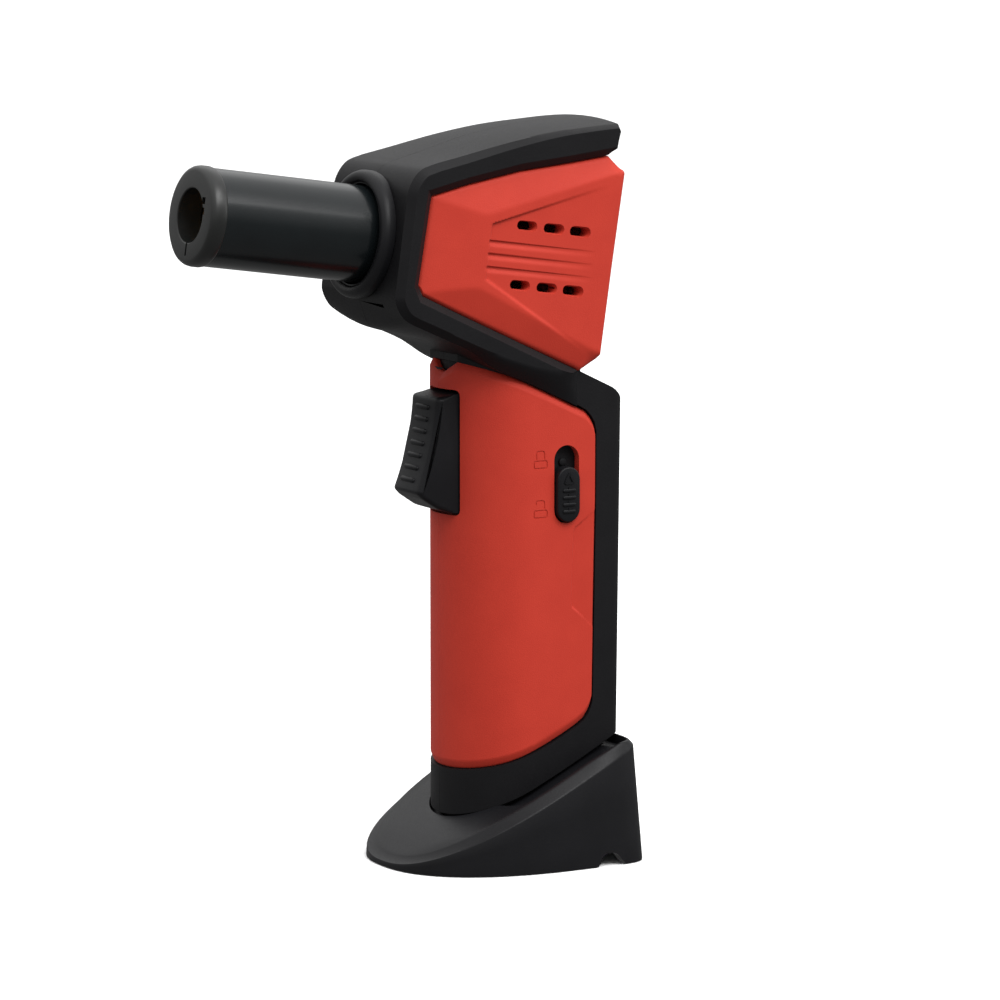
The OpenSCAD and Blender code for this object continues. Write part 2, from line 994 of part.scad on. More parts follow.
module trigger() {
    finger_profile = concat(
        [[trigger_rear_x, 81.6], [-14, 81.6], [-17.5, 82.6], [-21.4, 85.2], [-22.6, 86.2], [-22.9, 87.4]],
        [for (z = [88.8 : 2.35 : 106]) [finger_x(z), z]],
        [[-17.8, 107.2], [-17, 108.3], [-14.5, 109.2], [trigger_rear_x, 109.2]]
    );
    plan = [
        [trigger_rear_x, -trigger_half_width], [trigger_rear_x, trigger_half_width],
        [-13.7, trigger_half_width], [-24, trigger_finger_half_width],
        [-24, -trigger_finger_half_width], [-13.7, -trigger_half_width]
    ];
    rib_half = 3;
    rib_radius = 0.6;
    rib_low_z = 89.8;
    rib_pitch = 2.8;
    ribs = 7;
    arm_y = -6.6;
    arm_width = 2.4;
    nose_y = -9.2;
    color(black) {
        intersection() {
            side_prism(finger_profile, far);
            translate([0, 0, 60])
                linear_extrude(60)
                    polygon(plan);
        }
        // Finger ribs down the hollow front
        for (k = [0 : ribs - 1])
            translate([finger_x(rib_low_z + k * rib_pitch) + 0.1, 0, rib_low_z + k * rib_pitch])
                rod_y(-rib_half, rib_half, rib_radius);
        // Lips that hold it behind the body's front wall
        for (z = [79.8, 109])
            translate([-8.2, -4, z])
                cube([2.3, 8, 2.6]);
        // Ramp that presses the valve lever
        side_prism([[trigger_rear_x - cut, 88.2], [-3, 88.8], [-3, 91], [trigger_rear_x - cut, 91.4]], 2.2);
        // Arm and nose that the lock stops
        translate([trigger_rear_x - cut, arm_y, 96])
            cube([7, arm_width, 3.2]);
        translate([-2.6, nose_y, 92.5])
            cube([1.6, arm_y + arm_width - nose_y, 6.7]);
    }
}

module lock_slider() {
    rib_half = 1.9;
    ribs = 4;
    color(black)
    translate([lock_x, 0, 0]) {
        upright_slot(lock_pad_z[0], lock_pad_z[1], lock_pad_radius, -17.2, -14.6);
        translate([-shank_half_width, -15, shank_z[0]])
            cube([2 * shank_half_width, 4.1, shank_z[1] - shank_z[0]]);
        for (k = [0 : ribs - 1])
            translate([-rib_half, -17.6, 81.6 + 1.6 * k])
                cube([2 * rib_half, 1, 0.7]);
        // Arrow head
        side_arrow = [[-1, 88.6], [1, 88.6], [0, 90.2]];
        translate([0, -17.1, 0])
            side_prism(side_arrow, 0.5);
    }
}

module lock_catch() {
    plate_y = -10.9;
    color(black) {
        translate([-0.6, plate_y, 84])
            cube([13.4, 1.2, 4.4]);
        translate([-0.6, plate_y, 84])
            cube([1.8, 4.5, 6.8]);
    }
}

module body_screws() {
    color(steel) {
        in_head()
            for (place = [crown_screw, chin_screw])
                screw_axis_x(place) {
                    rod_y(-10, 17.2, screw_radius);
                    rod_y(17.2, 18.6, screw_head_radius);
                }
        screw_axis_x(handle_screw) {
            rod_y(-7, 12.1, screw_radius);
            rod_y(12.1, 13.5, screw_head_radius);
        }
        screw_axis_x(spigot_screw) {
            rod_y(-7, 11.6, screw_radius);
            rod_y(11.6, 13, screw_head_radius);
        }
    }
}

stand();
frame_left();
frame_right();
grip_left();
grip_right();
head_panel_left();
head_panel_right();
collar();
barrel();
tip_ring();
burner_tube();
diffuser();
jet_holder();
gas_jet();
insulator();
electrode();
ignition_wire();
gas_hose();
tank();
tank_lid();
valve_body();
valve_stem();
valve_lever();
lever_pin();
flame_adjuster();
piezo_body();
piezo_plunger();
trigger();
trigger_spring();
lock_slider();
lock_catch();
refill_valve();
refill_stem();
refill_spring();
refill_seal();
body_screws();
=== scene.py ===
import math

import bmesh
import bpy
import numpy as np
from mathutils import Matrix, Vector


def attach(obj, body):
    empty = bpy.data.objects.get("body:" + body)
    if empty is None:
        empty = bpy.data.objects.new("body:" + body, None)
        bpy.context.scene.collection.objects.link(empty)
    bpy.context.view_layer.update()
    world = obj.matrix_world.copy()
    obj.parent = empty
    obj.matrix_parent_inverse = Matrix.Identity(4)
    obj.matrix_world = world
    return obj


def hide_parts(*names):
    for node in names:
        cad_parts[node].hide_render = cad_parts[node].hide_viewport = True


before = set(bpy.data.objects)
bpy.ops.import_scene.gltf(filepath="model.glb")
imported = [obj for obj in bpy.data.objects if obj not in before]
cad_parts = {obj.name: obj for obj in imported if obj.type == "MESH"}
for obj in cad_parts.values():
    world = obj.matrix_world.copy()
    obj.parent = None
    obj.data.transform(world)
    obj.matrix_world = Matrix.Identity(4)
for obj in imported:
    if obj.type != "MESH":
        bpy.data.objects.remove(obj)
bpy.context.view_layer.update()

MM = 0.001
TILT = math.radians(8)
# Where the head's front plate meets the nozzle's axis
HEAD_X, HEAD_Z = -33.2, 145.9

# ------------ mesh helpers


def head(u, y, w):
    """A point of the tilted head, in millimetres of the shared frame."""
    return (HEAD_X + u * math.cos(TILT) + w * math.sin(TILT), y,
            HEAD_Z - u * math.sin(TILT) + w * math.cos(TILT))


def new_object(name, points, faces):
    """A mesh object from points in millimetres, with its faces turned outwards."""
    mesh = bpy.data.meshes.new(name)
    mesh.from_pydata([tuple(c * MM for c in p) for p in points], [], faces)
    obj = bpy.data.objects.new(name, mesh)
    bpy.context.scene.collection.objects.link(obj)
    bm = bmesh.new()
    bm.from_mesh(mesh)
    bmesh.ops.recalc_face_normals(bm, faces=bm.faces)
    bm.to_mesh(mesh)
    bm.free()
    return obj


def lofted(name, rings, capped=True, closed=False):
    """Joins rings that have the same number of points. Closed joins the last ring to the first."""
    count = len(rings[0])
    points = [p for ring in rings for p in ring]
    faces = []
    last = len(rings) if closed else len(rings) - 1
    for i in range(last):
        a, b = i * count, (i + 1) % len(rings) * count
        for k in range(count):
            n = (k + 1) % count
            faces.append((a + k, b + k, b + n, a + n))
    if capped and not closed:
        faces.append(tuple(range(count)))
        faces.append(tuple(range((len(rings) - 1) * count, len(rings) * count))[::-1])
    return new_object(name, points, faces)


def prism(name, outline, low_y, high_y, place=lambda x, y, z: (x, y, z)):
    """A side outline in X and Z, run across the part."""
    return lofted(name, [[place(x, y, z) for x, z in outline] for y in (low_y, high_y)])


def block(name, low, high):
    """A box between two corners."""
    outline = [(low[0], low[2]), (high[0], low[2]), (high[0], high[2]), (low[0], high[2])]
    return prism(name, outline, low[1], high[1])


def turned(name, profile, steps=96):
    """A closed profile of (along, radius) turned round the head's own axis."""
    rings = []
    for k in range(steps):
        c, s = math.cos(2 * math.pi * k / steps), math.sin(2 * math.pi * k / steps)
        rings.append([head(a, r * s, r * c) for a, r in profile])
    return lofted(name, rings, closed=True)


def upright(name, outline, low, high):
    """A plan outline in X and Y, run upwards."""
    return lofted(name, [[(x, y, z) for x, y in outline] for z in (low, high)])


def circle(cx, cy, radius, steps=64):
    angles = [2 * math.pi * k / steps for k in range(steps)]
    return [(cx + radius * math.cos(a), cy + radius * math.sin(a)) for a in angles]


def applied(obj):
    """Applies the object's modifiers to its mesh."""
    graph = bpy.context.evaluated_depsgraph_get()
    mesh = bpy.data.meshes.new_from_object(obj.evaluated_get(graph))
    obj.modifiers.clear()
    obj.data = mesh


def combined(obj, other, operation="DIFFERENCE"):
    """Cuts the other solid from the object, or joins or intersects them, and removes the other."""
    cut = obj.modifiers.new("cut", "BOOLEAN")
    cut.operation, cut.object, cut.solver = operation, other, "EXACT"
    applied(obj)
    bpy.data.objects.remove(other)


def copied(obj, name):
    other = bpy.data.objects.new(name, obj.data.copy())
    bpy.context.scene.collection.objects.link(other)
    return other


def joined(obj, *others):
    """Adds the others' meshes to the object's own."""
    bm = bmesh.new()
    for o in (obj, *others):
        bm.from_mesh(o.data)
    bm.to_mesh(obj.data)
    bm.free()
    for o in others:
        bpy.data.objects.remove(o)


def rounded_edges(obj, width, steps=3, angle=34, where=lambda p: True):
    """Rounds the edges sharper than an angle, where a test on the edge's middle says so."""
    bm = bmesh.new()
    bm.from_mesh(obj.data)
    bmesh.ops.remove_doubles(bm, verts=bm.verts, dist=2e-6)
    bmesh.ops.dissolve_degenerate(bm, dist=2e-6, edges=bm.edges)
    flat = math.radians(0.6)
    bmesh.ops.dissolve_limit(bm, angle_limit=flat, verts=bm.verts, edges=bm.edges)
    sharp = [e for e in bm.edges if len(e.link_faces) == 2 and e.calc_face_angle(0) > math.radians(angle)
             and where((e.verts[0].co + e.verts[1].co) / 2 / MM)]
    bmesh.ops.bevel(bm, geom=sharp, offset=width * MM, segments=steps, profile=0.5, affect="EDGES",
                    clamp_overlap=True, loop_slide=True)
    bm.to_mesh(obj.data)
    bm.free()


def shaded(obj, angle=32, weighted=True):
    """Smooth shading, with edges sharper than an angle kept sharp."""
    obj.data.shade_smooth()
    obj.data.set_sharp_from_angle(angle=math.radians(angle))
    if weighted:
        normals = obj.modifiers.new("normals", "WEIGHTED_NORMAL")
        normals.keep_sharp = True
        normals.weight = 60
    return obj


def smooth_curve(points, step=1.0):
    """A smooth curve through points, sampled at about a step."""
    pts = [np.array(p, float) for p in points]
    pts = [2 * pts[0] - pts[1]] + pts + [2 * pts[-1] - pts[-2]]
    out = []
    for i in range(1, len(pts) - 2):
        a, b, c, d = pts[i - 1:i + 3]
        ta = 0
        tb = ta + np.linalg.norm(b - a) ** 0.5
        tc = tb + np.linalg.norm(c - b) ** 0.5
        td = tc + np.linalg.norm(d - c) ** 0.5
        count = max(1, round(np.linalg.norm(c - b) / step))
        for k in range(count):
            t = tb + (tc - tb) * k / count
            ab = (tb - t) / (tb - ta) * a + (t - ta) / (tb - ta) * b
            bc = (tc - t) / (tc - tb) * b + (t - tb) / (tc - tb) * c
            cd = (td - t) / (td - tc) * c + (t - tc) / (td - tc) * d
            abc = (tc - t) / (tc - ta) * ab + (t - ta) / (tc - ta) * bc
            bcd = (td - t) / (td - tb) * bc + (t - tb) / (td - tb) * cd
            out.append(tuple((tc - t) / (tc - tb) * abc + (t - tb) / (tc - tb) * bcd))
    out.append(tuple(pts[-2]))
    return out


def blend(low, high, x):
    """0 below low, 1 above high, smooth between."""
    t = min(1.0, max(0.0, (x - low) / (high - low)))
    return t * t * (3 - 2 * t)


def grown(points, centre, factor):
    """Points scaled about a centre."""
    return [tuple(c + (p - c) * factor for p, c in zip(q, centre)) for q in points]


def offset_outline(points, distance):
    """Moves a closed outline outwards by a distance, or inwards where it is below zero."""
    pts = [Vector(p) for p in points]
    area = sum(a.x * b.y - b.x * a.y for a, b in zip(pts, pts[1:] + pts[:1]))
    sign = 1 if area > 0 else -1
    out = []
    for i, p in enumerate(pts):
        a = (p - pts[i - 1]).normalized()
        b = (pts[(i + 1) % len(pts)] - p).normalized()
        na, nb = Vector((a.y, -a.x)) * sign, Vector((b.y, -b.x)) * sign
        n = (na + nb).normalized()
        out.append(tuple(p + n * distance / max(0.4, n.dot(na))))
    return out


def filleted(points, radii, steps=5):
    """Rounds the corners of a closed outline, each with its own radius."""
    out = []
    for i, p in enumerate(points):
        r = radii[i] if isinstance(radii, (list, tuple)) else radii
        if r <= 0:
            out.append(tuple(p))
            continue
        p, a, b = Vector(p), Vector(points[i - 1]), Vector(points[(i + 1) % len(points)])
        da, db = (a - p), (b - p)
        half = da.angle(db) / 2
        reach = min(r / math.tan(half), da.length * 0.49, db.length * 0.49)
        start, end = p + da.normalized() * reach, p + db.normalized() * reach
        for k in range(steps + 1):
            t = k / steps
            out.append(tuple(start * (1 - t) ** 2 + p * (2 * t * (1 - t)) + end * t ** 2))
    return out


# ------------ the handle's section

# Radius and centre of the rounded front, rear face and its corners' radius, in millimetres
GRIP_R, GRIP_CX = 16.0, 1.9
SPINE_X, SPINE_R = 24.6, 1.6
# Distance round the shell from the front seam to the flat side
ARC = GRIP_R * math.pi / 2
# Middle of the child lock's slot, and half the trigger's width
LOCK_X = 10.5
TRIGGER_HALF = 6.2
# X of the point inside the section from which the stand's rays start
SECTION_CX = 5.0


def section(inset, arc_steps=40, corner_steps=8):
    """The handle's plan outline, from the front centre by the -Y side to the rear and back."""
    half = GRIP_R - inset
    corner = max(SPINE_R - inset, 0.05)
    corner_x = SPINE_X - inset - corner
    side = []
    for k in range(arc_steps + 1):
        a = math.pi + math.pi / 2 * k / arc_steps
        side.append((GRIP_CX + half * math.cos(a), half * math.sin(a)))
    for k in range(1, 12):
        side.append((GRIP_CX + (corner_x - GRIP_CX) * k / 12, -half))
    for k in range(corner_steps + 1):
        a = -math.pi / 2 + math.pi / 2 * k / corner_steps
        side.append((corner_x + corner * math.cos(a), -(half - corner) + corner * math.sin(a)))
    return side + [(x, -y) for x, y in side[::-1] if abs(y) > 1e-6]


def column(name, inset, low, high):
    """The handle's section, drawn in by an inset, run upwards."""
    return upright(name, section(inset), low, high)


def on_grip(s, side, inset=0.0):
    """X and Y at a distance s round the handle from its front centre, sunk by an inset."""
    if s < ARC:
        a = s / GRIP_R
        return GRIP_CX + (GRIP_R - inset) * -math.cos(a), (GRIP_R - inset) * (side * math.sin(a))
    return GRIP_CX + s - ARC, side * (GRIP_R - inset)


def foot_edge(x):
    """Lower edge of the black foot at an X."""
    return 16.9 + 0.44 * x + 0.0025 * x * x


def soft_min(a, b, k):
    """The smaller of two values, rounded over where they are within k."""
    h = max(0.0, min(1.0, 0.5 + 0.5 * (b - a) / k))
    return b + (a - b) * h - k * h * (1 - h)


def stand_surface(x):
    """Height of the stand's crest, level behind."""
    return soft_min(17.75 + 0.503 * x - 0.0015 * min(x, 0.0) ** 2, 28.2, 0.8)


def stand_wall_top(x):
    """Height of the edge where the stand's leaning wall meets its bevel."""
    return soft_min(15.5 + 0.478 * x, 27.2, 0.8)


# ------------ materials


def map_range(tree, value, start, stop, low=0.0, high=1.0):
    """Adds a node that turns start...stop into low...high, and returns its result."""
    node = tree.nodes.new("ShaderNodeMapRange")
    for name, number in (("From Min", start), ("From Max", stop), ("To Min", low), ("To Max", high)):
        node.inputs[name].default_value = number
    tree.links.new(value, node.inputs["Value"])
    return node.outputs["Result"]


def surface(name, colour, dark, roughness, grain, bump, specular=0.5, metallic=0.0, coat=0.0,
            coat_roughness=0.1, spread=0.08, cloud=0.12, scratch=0.0, sheen=0.0):
    """Moulded or machined surface: cloudy colour, grain in roughness and bump, and fine scratches."""
    material = bpy.data.materials.new(name)
    material.use_nodes = True
    tree = material.node_tree
    shader = tree.nodes["Principled BSDF"]
    add, link = tree.nodes.new, tree.links.new
    place = add("ShaderNodeTexCoord")
    scale = add("ShaderNodeMapping")
    scale.inputs["Scale"].default_value = (1 / MM,) * 3
    link(place.outputs["Object"], scale.inputs["Vector"])

    def noise(size, detail):
        n = add("ShaderNodeTexNoise")
        n.inputs["Scale"].default_value = size
        n.inputs["Detail"].default_value = detail
        link(scale.outputs["Vector"], n.inputs["Vector"])
        return n.outputs["Fac"]

    clouds, fine = noise(cloud, 3.0), noise(grain, 2.0)
    mix = add("ShaderNodeMix")
    mix.data_type = "RGBA"
    mix.inputs[6].default_value = (*dark, 1)
    mix.inputs[7].default_value = (*colour, 1)
    link(map_range(tree, clouds, 0.3, 0.7), mix.inputs[0])
    link(mix.outputs[2], shader.inputs["Base Color"])
    rough = map_range(tree, fine, 0.25, 0.75, roughness - spread, roughness + spread)
    link(rough, shader.inputs["Roughness"])
    texture = add("ShaderNodeBump")
    texture.inputs["Strength"].default_value = 1.0
    texture.inputs["Distance"].default_value = bump * MM
    link(fine, texture.inputs["Height"])
    if scratch:
        lines = add("ShaderNodeTexNoise")
        stretch = add("ShaderNodeMapping")
        stretch.inputs["Scale"].default_value = (0.15 / MM, 6 / MM, 6 / MM)
        link(place.outputs["Object"], stretch.inputs["Vector"])
        link(stretch.outputs["Vector"], lines.inputs["Vector"])
        lines.inputs["Scale"].default_value = 1.0
        second = add("ShaderNodeBump")
        second.inputs["Distance"].default_value = scratch * MM
        link(lines.outputs["Fac"], second.inputs["Height"])
        link(texture.outputs["Normal"], second.inputs["Normal"])
        texture = second
    link(texture.outputs["Normal"], shader.inputs["Normal"])
    shader.inputs["Specular IOR Level"].default_value = specular
    shader.inputs["Metallic"].default_value = metallic
    shader.inputs["Coat Weight"].default_value = coat
    shader.inputs["Coat Roughness"].default_value = coat_roughness
    shader.inputs["Sheen Weight"].default_value = sheen
    return material


RED = surface("soft_red_touch", (0.475, 0.034, 0.018), (0.445, 0.030, 0.016), 0.62, 4.2, 0.035,
              specular=0.22, sheen=0.02)
MATTE = surface("matte_black", (0.0068, 0.0066, 0.0074), (0.0054, 0.0052, 0.0060), 0.5, 4.6, 0.03,
                specular=0.14)
SATIN = surface("satin_black", (0.0066, 0.0066, 0.0078), (0.0052, 0.0052, 0.0062), 0.42, 4.0, 0.022,
                specular=0.17)
GLOSS = surface("gloss_black", (0.0050, 0.0070, 0.0078), (0.0040, 0.0056, 0.0063), 0.22, 3.0, 0.004,
                specular=0.28, coat=0.1, coat_roughness=0.15, spread=0.03)
COATED = surface("black_coated_metal", (0.012, 0.0125, 0.012), (0.009, 0.0098, 0.0095), 0.34, 3.4, 0.008,
                 specular=0.34, spread=0.05)
BRASS = surface("brass", (0.74, 0.50, 0.17), (0.62, 0.39, 0.12), 0.28, 2.4, 0.006, metallic=1.0, scratch=0.02)
ZINC = surface("cast_zinc", (0.46, 0.46, 0.47), (0.36, 0.36, 0.38), 0.45, 2.0, 0.02, metallic=1.0)
CERAMIC = surface("ceramic", (0.78, 0.76, 0.70), (0.70, 0.68, 0.62), 0.4, 3.0, 0.01)
STEEL = surface("steel", (0.58, 0.58, 0.60), (0.48, 0.48, 0.50), 0.27, 3.0, 0.005,
                metallic=1.0, scratch=0.015)
WIRE = surface("wire_cover", (0.035, 0.035, 0.04), (0.025, 0.025, 0.03), 0.45, 3.0, 0.01)
HOSE = surface("clear_hose", (0.62, 0.62, 0.56), (0.54, 0.54, 0.49), 0.3, 2.0, 0.006)
NYLON = surface("tank_nylon", (0.66, 0.66, 0.62), (0.58, 0.58, 0.54), 0.4, 2.4, 0.012)
CREAM = surface("igniter_cream", (0.66, 0.60, 0.45), (0.58, 0.52, 0.38), 0.42, 2.6, 0.012)
RUBBER = surface("seal_rubber", (0.02, 0.02, 0.02), (0.014, 0.014, 0.014), 0.6, 3.0, 0.02, specular=0.3)
FLOOR = surface("floor", (0.955, 0.955, 0.955), (0.945, 0.945, 0.945), 0.8, 0.05, 0.0, specular=0.1)

NODE_LOOKS = (
    (MATTE, "flame_adjuster", "lock_catch", "piezo_plunger"),
    (BRASS, "burner_tube", "diffuser", "gas_jet", "valve_body", "refill_valve"),
    (ZINC, "jet_holder"),
    (CERAMIC, "insulator"),
    (STEEL, "electrode", "valve_stem", "valve_lever", "lever_pin", "trigger_spring", "refill_stem",
     "refill_spring", "body_screws"),
    (WIRE, "ignition_wire"),
    (HOSE, "gas_hose"),
    (NYLON, "tank", "tank_lid"),
    (CREAM, "piezo_body"),
    (RUBBER, "refill_seal"),
)


def dressed(name, look):
    """Gives a CAD node that stays its material."""
    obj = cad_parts[name]
    obj.data.materials.clear()
    obj.data.materials.append(look)


def piece(obj, name, look, body, slot, *replaced):
    """Names a finished piece and gives it its material, its body and the CAD nodes that it stands for."""
    obj.name = name
    obj.data.name = name
    obj.data.materials.clear()
    obj.data.materials.append(look)
    for polygon in obj.data.polygons:
        polygon.material_index = 0
    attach(obj, body)
    if replaced:
        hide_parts(*replaced)
    return obj


# ------------ nozzle


def tilted_block(name, low, high):
    """A box along the head's own axes."""
    obj = block(name, low, high)
    for v in obj.data.vertices:
        v.co = Vector([c * MM for c in head(*(v.co / MM))])
    return obj


def nozzle():
    """The tube, its front ring with the flame hole, and the flange round its root."""
    tube = turned("tube", [(-41, 11.0), (14, 11.0), (14, 10.0), (-41, 10.0)], 128)
    piece(shaded(tube, weighted=False), "nozzle_tube", GLOSS, "torch", "gloss_black", "barrel")

    tip = turned("tip", [
        (-38.5, 6.15), (-44.15, 6.15), (-44.3, 6.35), (-44.3, 9.9), (-44.2, 10.35), (-43.9, 10.8),
        (-43.3, 11.15), (-42.5, 11.3), (-41.2, 11.3), (-40.75, 11.2), (-40.5, 11.0), (-40.45, 9.95),
        (-35.6, 9.9), (-35.6, 9.3), (-38.5, 9.3)], 128)
    combined(tip, tilted_block("slot", (-46, -0.35, -9.0), (-37, 0.35, -5.5)))
    for low in (0.6, 2.9):
        combined(tip, tilted_block("step", (-45, -6.75, low), (-37, -5.2, low + 1.5)))
    piece(shaded(tip, 35, weighted=False), "nozzle_tip", COATED, "torch", "black_coated_metal", "tip_ring")

    flange = turned("flange", [
        (5, 11.5), (-2.3, 11.5), (-2.35, 11.75), (-2.75, 11.95), (-3.05, 12.2), (-3.25, 12.6), (-3.3, 13.0),
        (-3.2, 13.5), (-2.95, 13.95), (-2.5, 14.3), (-1.9, 14.55), (-1.4, 14.6), (-0.15, 14.6), (-0.1, 14.4),
        (0.4, 14.4), (0.4, 12.4), (5, 12.4)], 128)
    piece(shaded(flange, 40, weighted=False), "nozzle_collar", SATIN, "torch", "satin_black", "collar")


# ------------ black body

# Side outline of the red head shells, along and up the head
PANEL = [(5.7, -9.5), (7.1, -11.8), (16.8, -14.9), (33.3, -20.0), (50.3, -25.1), (54.4, -22.0), (54.6, 0.0),
         (55.0, 21.5), (51.0, 24.4), (40.7, 21.6), (28.4, 18.5), (15.4, 14.1), (6.3, 10.5)]
# Centres that outlines are scaled about
PANEL_CENTRE, HEAD_CENTRE = (31, 0), (28, 2)
# Rear and top of the red handle shells' side outline, in X and Z
GRIP_TOP = [(17.9, 60), (18.35, 84), (18.4, 99.5), (17.9, 101.8), (17.0, 103.3), (15.7, 104.7), (12.9, 106.3),
            (6, 109.25), (-4, 113.52), (-12.9, 116.4), (-13.7, 115.5), (-14.1, 113.9), (-15, 113.8)]


def head_shell():
    """Crown, front plate and chin as one arched block."""
    crease_top = smooth_curve([(6.4, 17.9), (13.3, 20.4), (19.7, 22.8), (26.2, 25.1), (36.3, 28.2),
                               (46.6, 30.6), (52.3, 31.8)], 2.2)
    crease_front = smooth_curve([(0, 9.6), (0.25, 11.6), (1.1, 13.9), (2.8, 16.1), (6.4, 17.9)], 0.8)[:-1]
    crease_low = smooth_curve([(51.6, -33.2), (44, -30.9), (37.6, -28.95), (30, -27.0), (26.5, -25.7),
                               (22, -23.4), (14, -21.0), (5.6, -18.6)], 2.2)[:-1]
    crease_chin = smooth_curve([(5.6, -18.6), (3.2, -17.6), (1.2, -15.6), (0.1, -13.4), (0, -11.8)], 0.8)
    crease = crease_low + crease_chin + crease_front + crease_top
    crease += [(53.4, 30.2), (53.1, 27.8), (51.2, -25.5), (50.6, -28.2)]

    inner = offset_outline(crease, -1.0)
    edge = []
    for p, q in zip(crease, inner):
        if p[1] < -19 and p[0] > 16:
            # Over the handle the land keeps close to the red shells above it
            low = float(np.interp(p[0], [16, 24, 30, 37.6, 44, 50],
                                  [-20.0, -22.3, -23.7, -25.0, -25.4, -23.5]))
            if p[0] > 49:
                edge.append((49.0, low + 0.08 * (p[1] + 33.2)))
            else:
                edge.append((p[0], max(low, p[1] + 1.0)))
            continue
        t = 1.7 - 0.8 * blend(6, 50, p[0]) if p[1] > 0 else 1.7
        edge.append((p[0] + (q[0] - p[0]) * t, p[1] + (q[1] - p[1]) * t))

    def side_ring(side, share):
        """Points between the land's edge and the crease."""
        ring = []
        for (eu, ew), (cu, cw) in zip(edge, crease):
            u, w = eu + (cu - eu) * share, ew + (cw - ew) * share
            over_handle = blend(17, 27, cu) * blend(-19, -24, cw)
            slim = 17.5 - 1.47 * over_handle
            y = 19 - (19 - slim) * share ** (1 + 0.4 * over_handle)
            if cw < -19:
                y = min(y, 19 - 2.95 * blend(46, 51.5, u))
            ring.append(head(u, side * y, w))
        return ring

    rings = [[head(u, -19.0, w) for u, w in edge]] + [side_ring(-1, s) for s in (0.25, 0.5, 0.75)]
    for y in (-17.5, -16.4, -14, -11, -7.5, -4, 0, 4, 7.5, 11, 14, 16.4, 17.5):
        ring = []
        for u, w in crease:
            arch = 1 - (y / 17.5) ** 2
            rise = 1.2 * blend(2, 26, u) * blend(16, 19, w) * arch
            back = 0.7 * blend(51.5, 52.5, u) * blend(20, 28, w) * arch
            # The chin's flank draws in to the handle, and its underside bellies down
            slim = 1 - 0.084 * blend(17, 27, u) * blend(-19, -24, w)
            belly = 2.4 * blend(-1, 4, u) * (1 - 0.88 * blend(3, 19, u)) * (1 - blend(22, 30, u))
            belly *= blend(-15, -18.5, w)
            ring.append(head(u + back, y * slim, w + rise - belly * arch))
        rings.append(ring)
    rings += [side_ring(1, s) for s in (0.75, 0.5, 0.25)] + [[head(u, 19.0, w) for u, w in edge]]
    return lofted("head_shell", rings)


def panel_cutter():
    """The opening for the red head shells, with a bevelled mouth each side."""
    outline = grown(PANEL, PANEL_CENTRE, 1.009)
    mouth = offset_outline(outline, 1.9)
    wide = offset_outline(outline, 2.9)
    rings = []
    for y, ring in ((-20.2, wide), (-19.2, mouth), (-17.6, outline),
                    (17.6, outline), (19.2, mouth), (20.2, wide)):
        rings.append([head(u, y, w) for u, w in ring])
    return lofted("panel_cutter", rings)


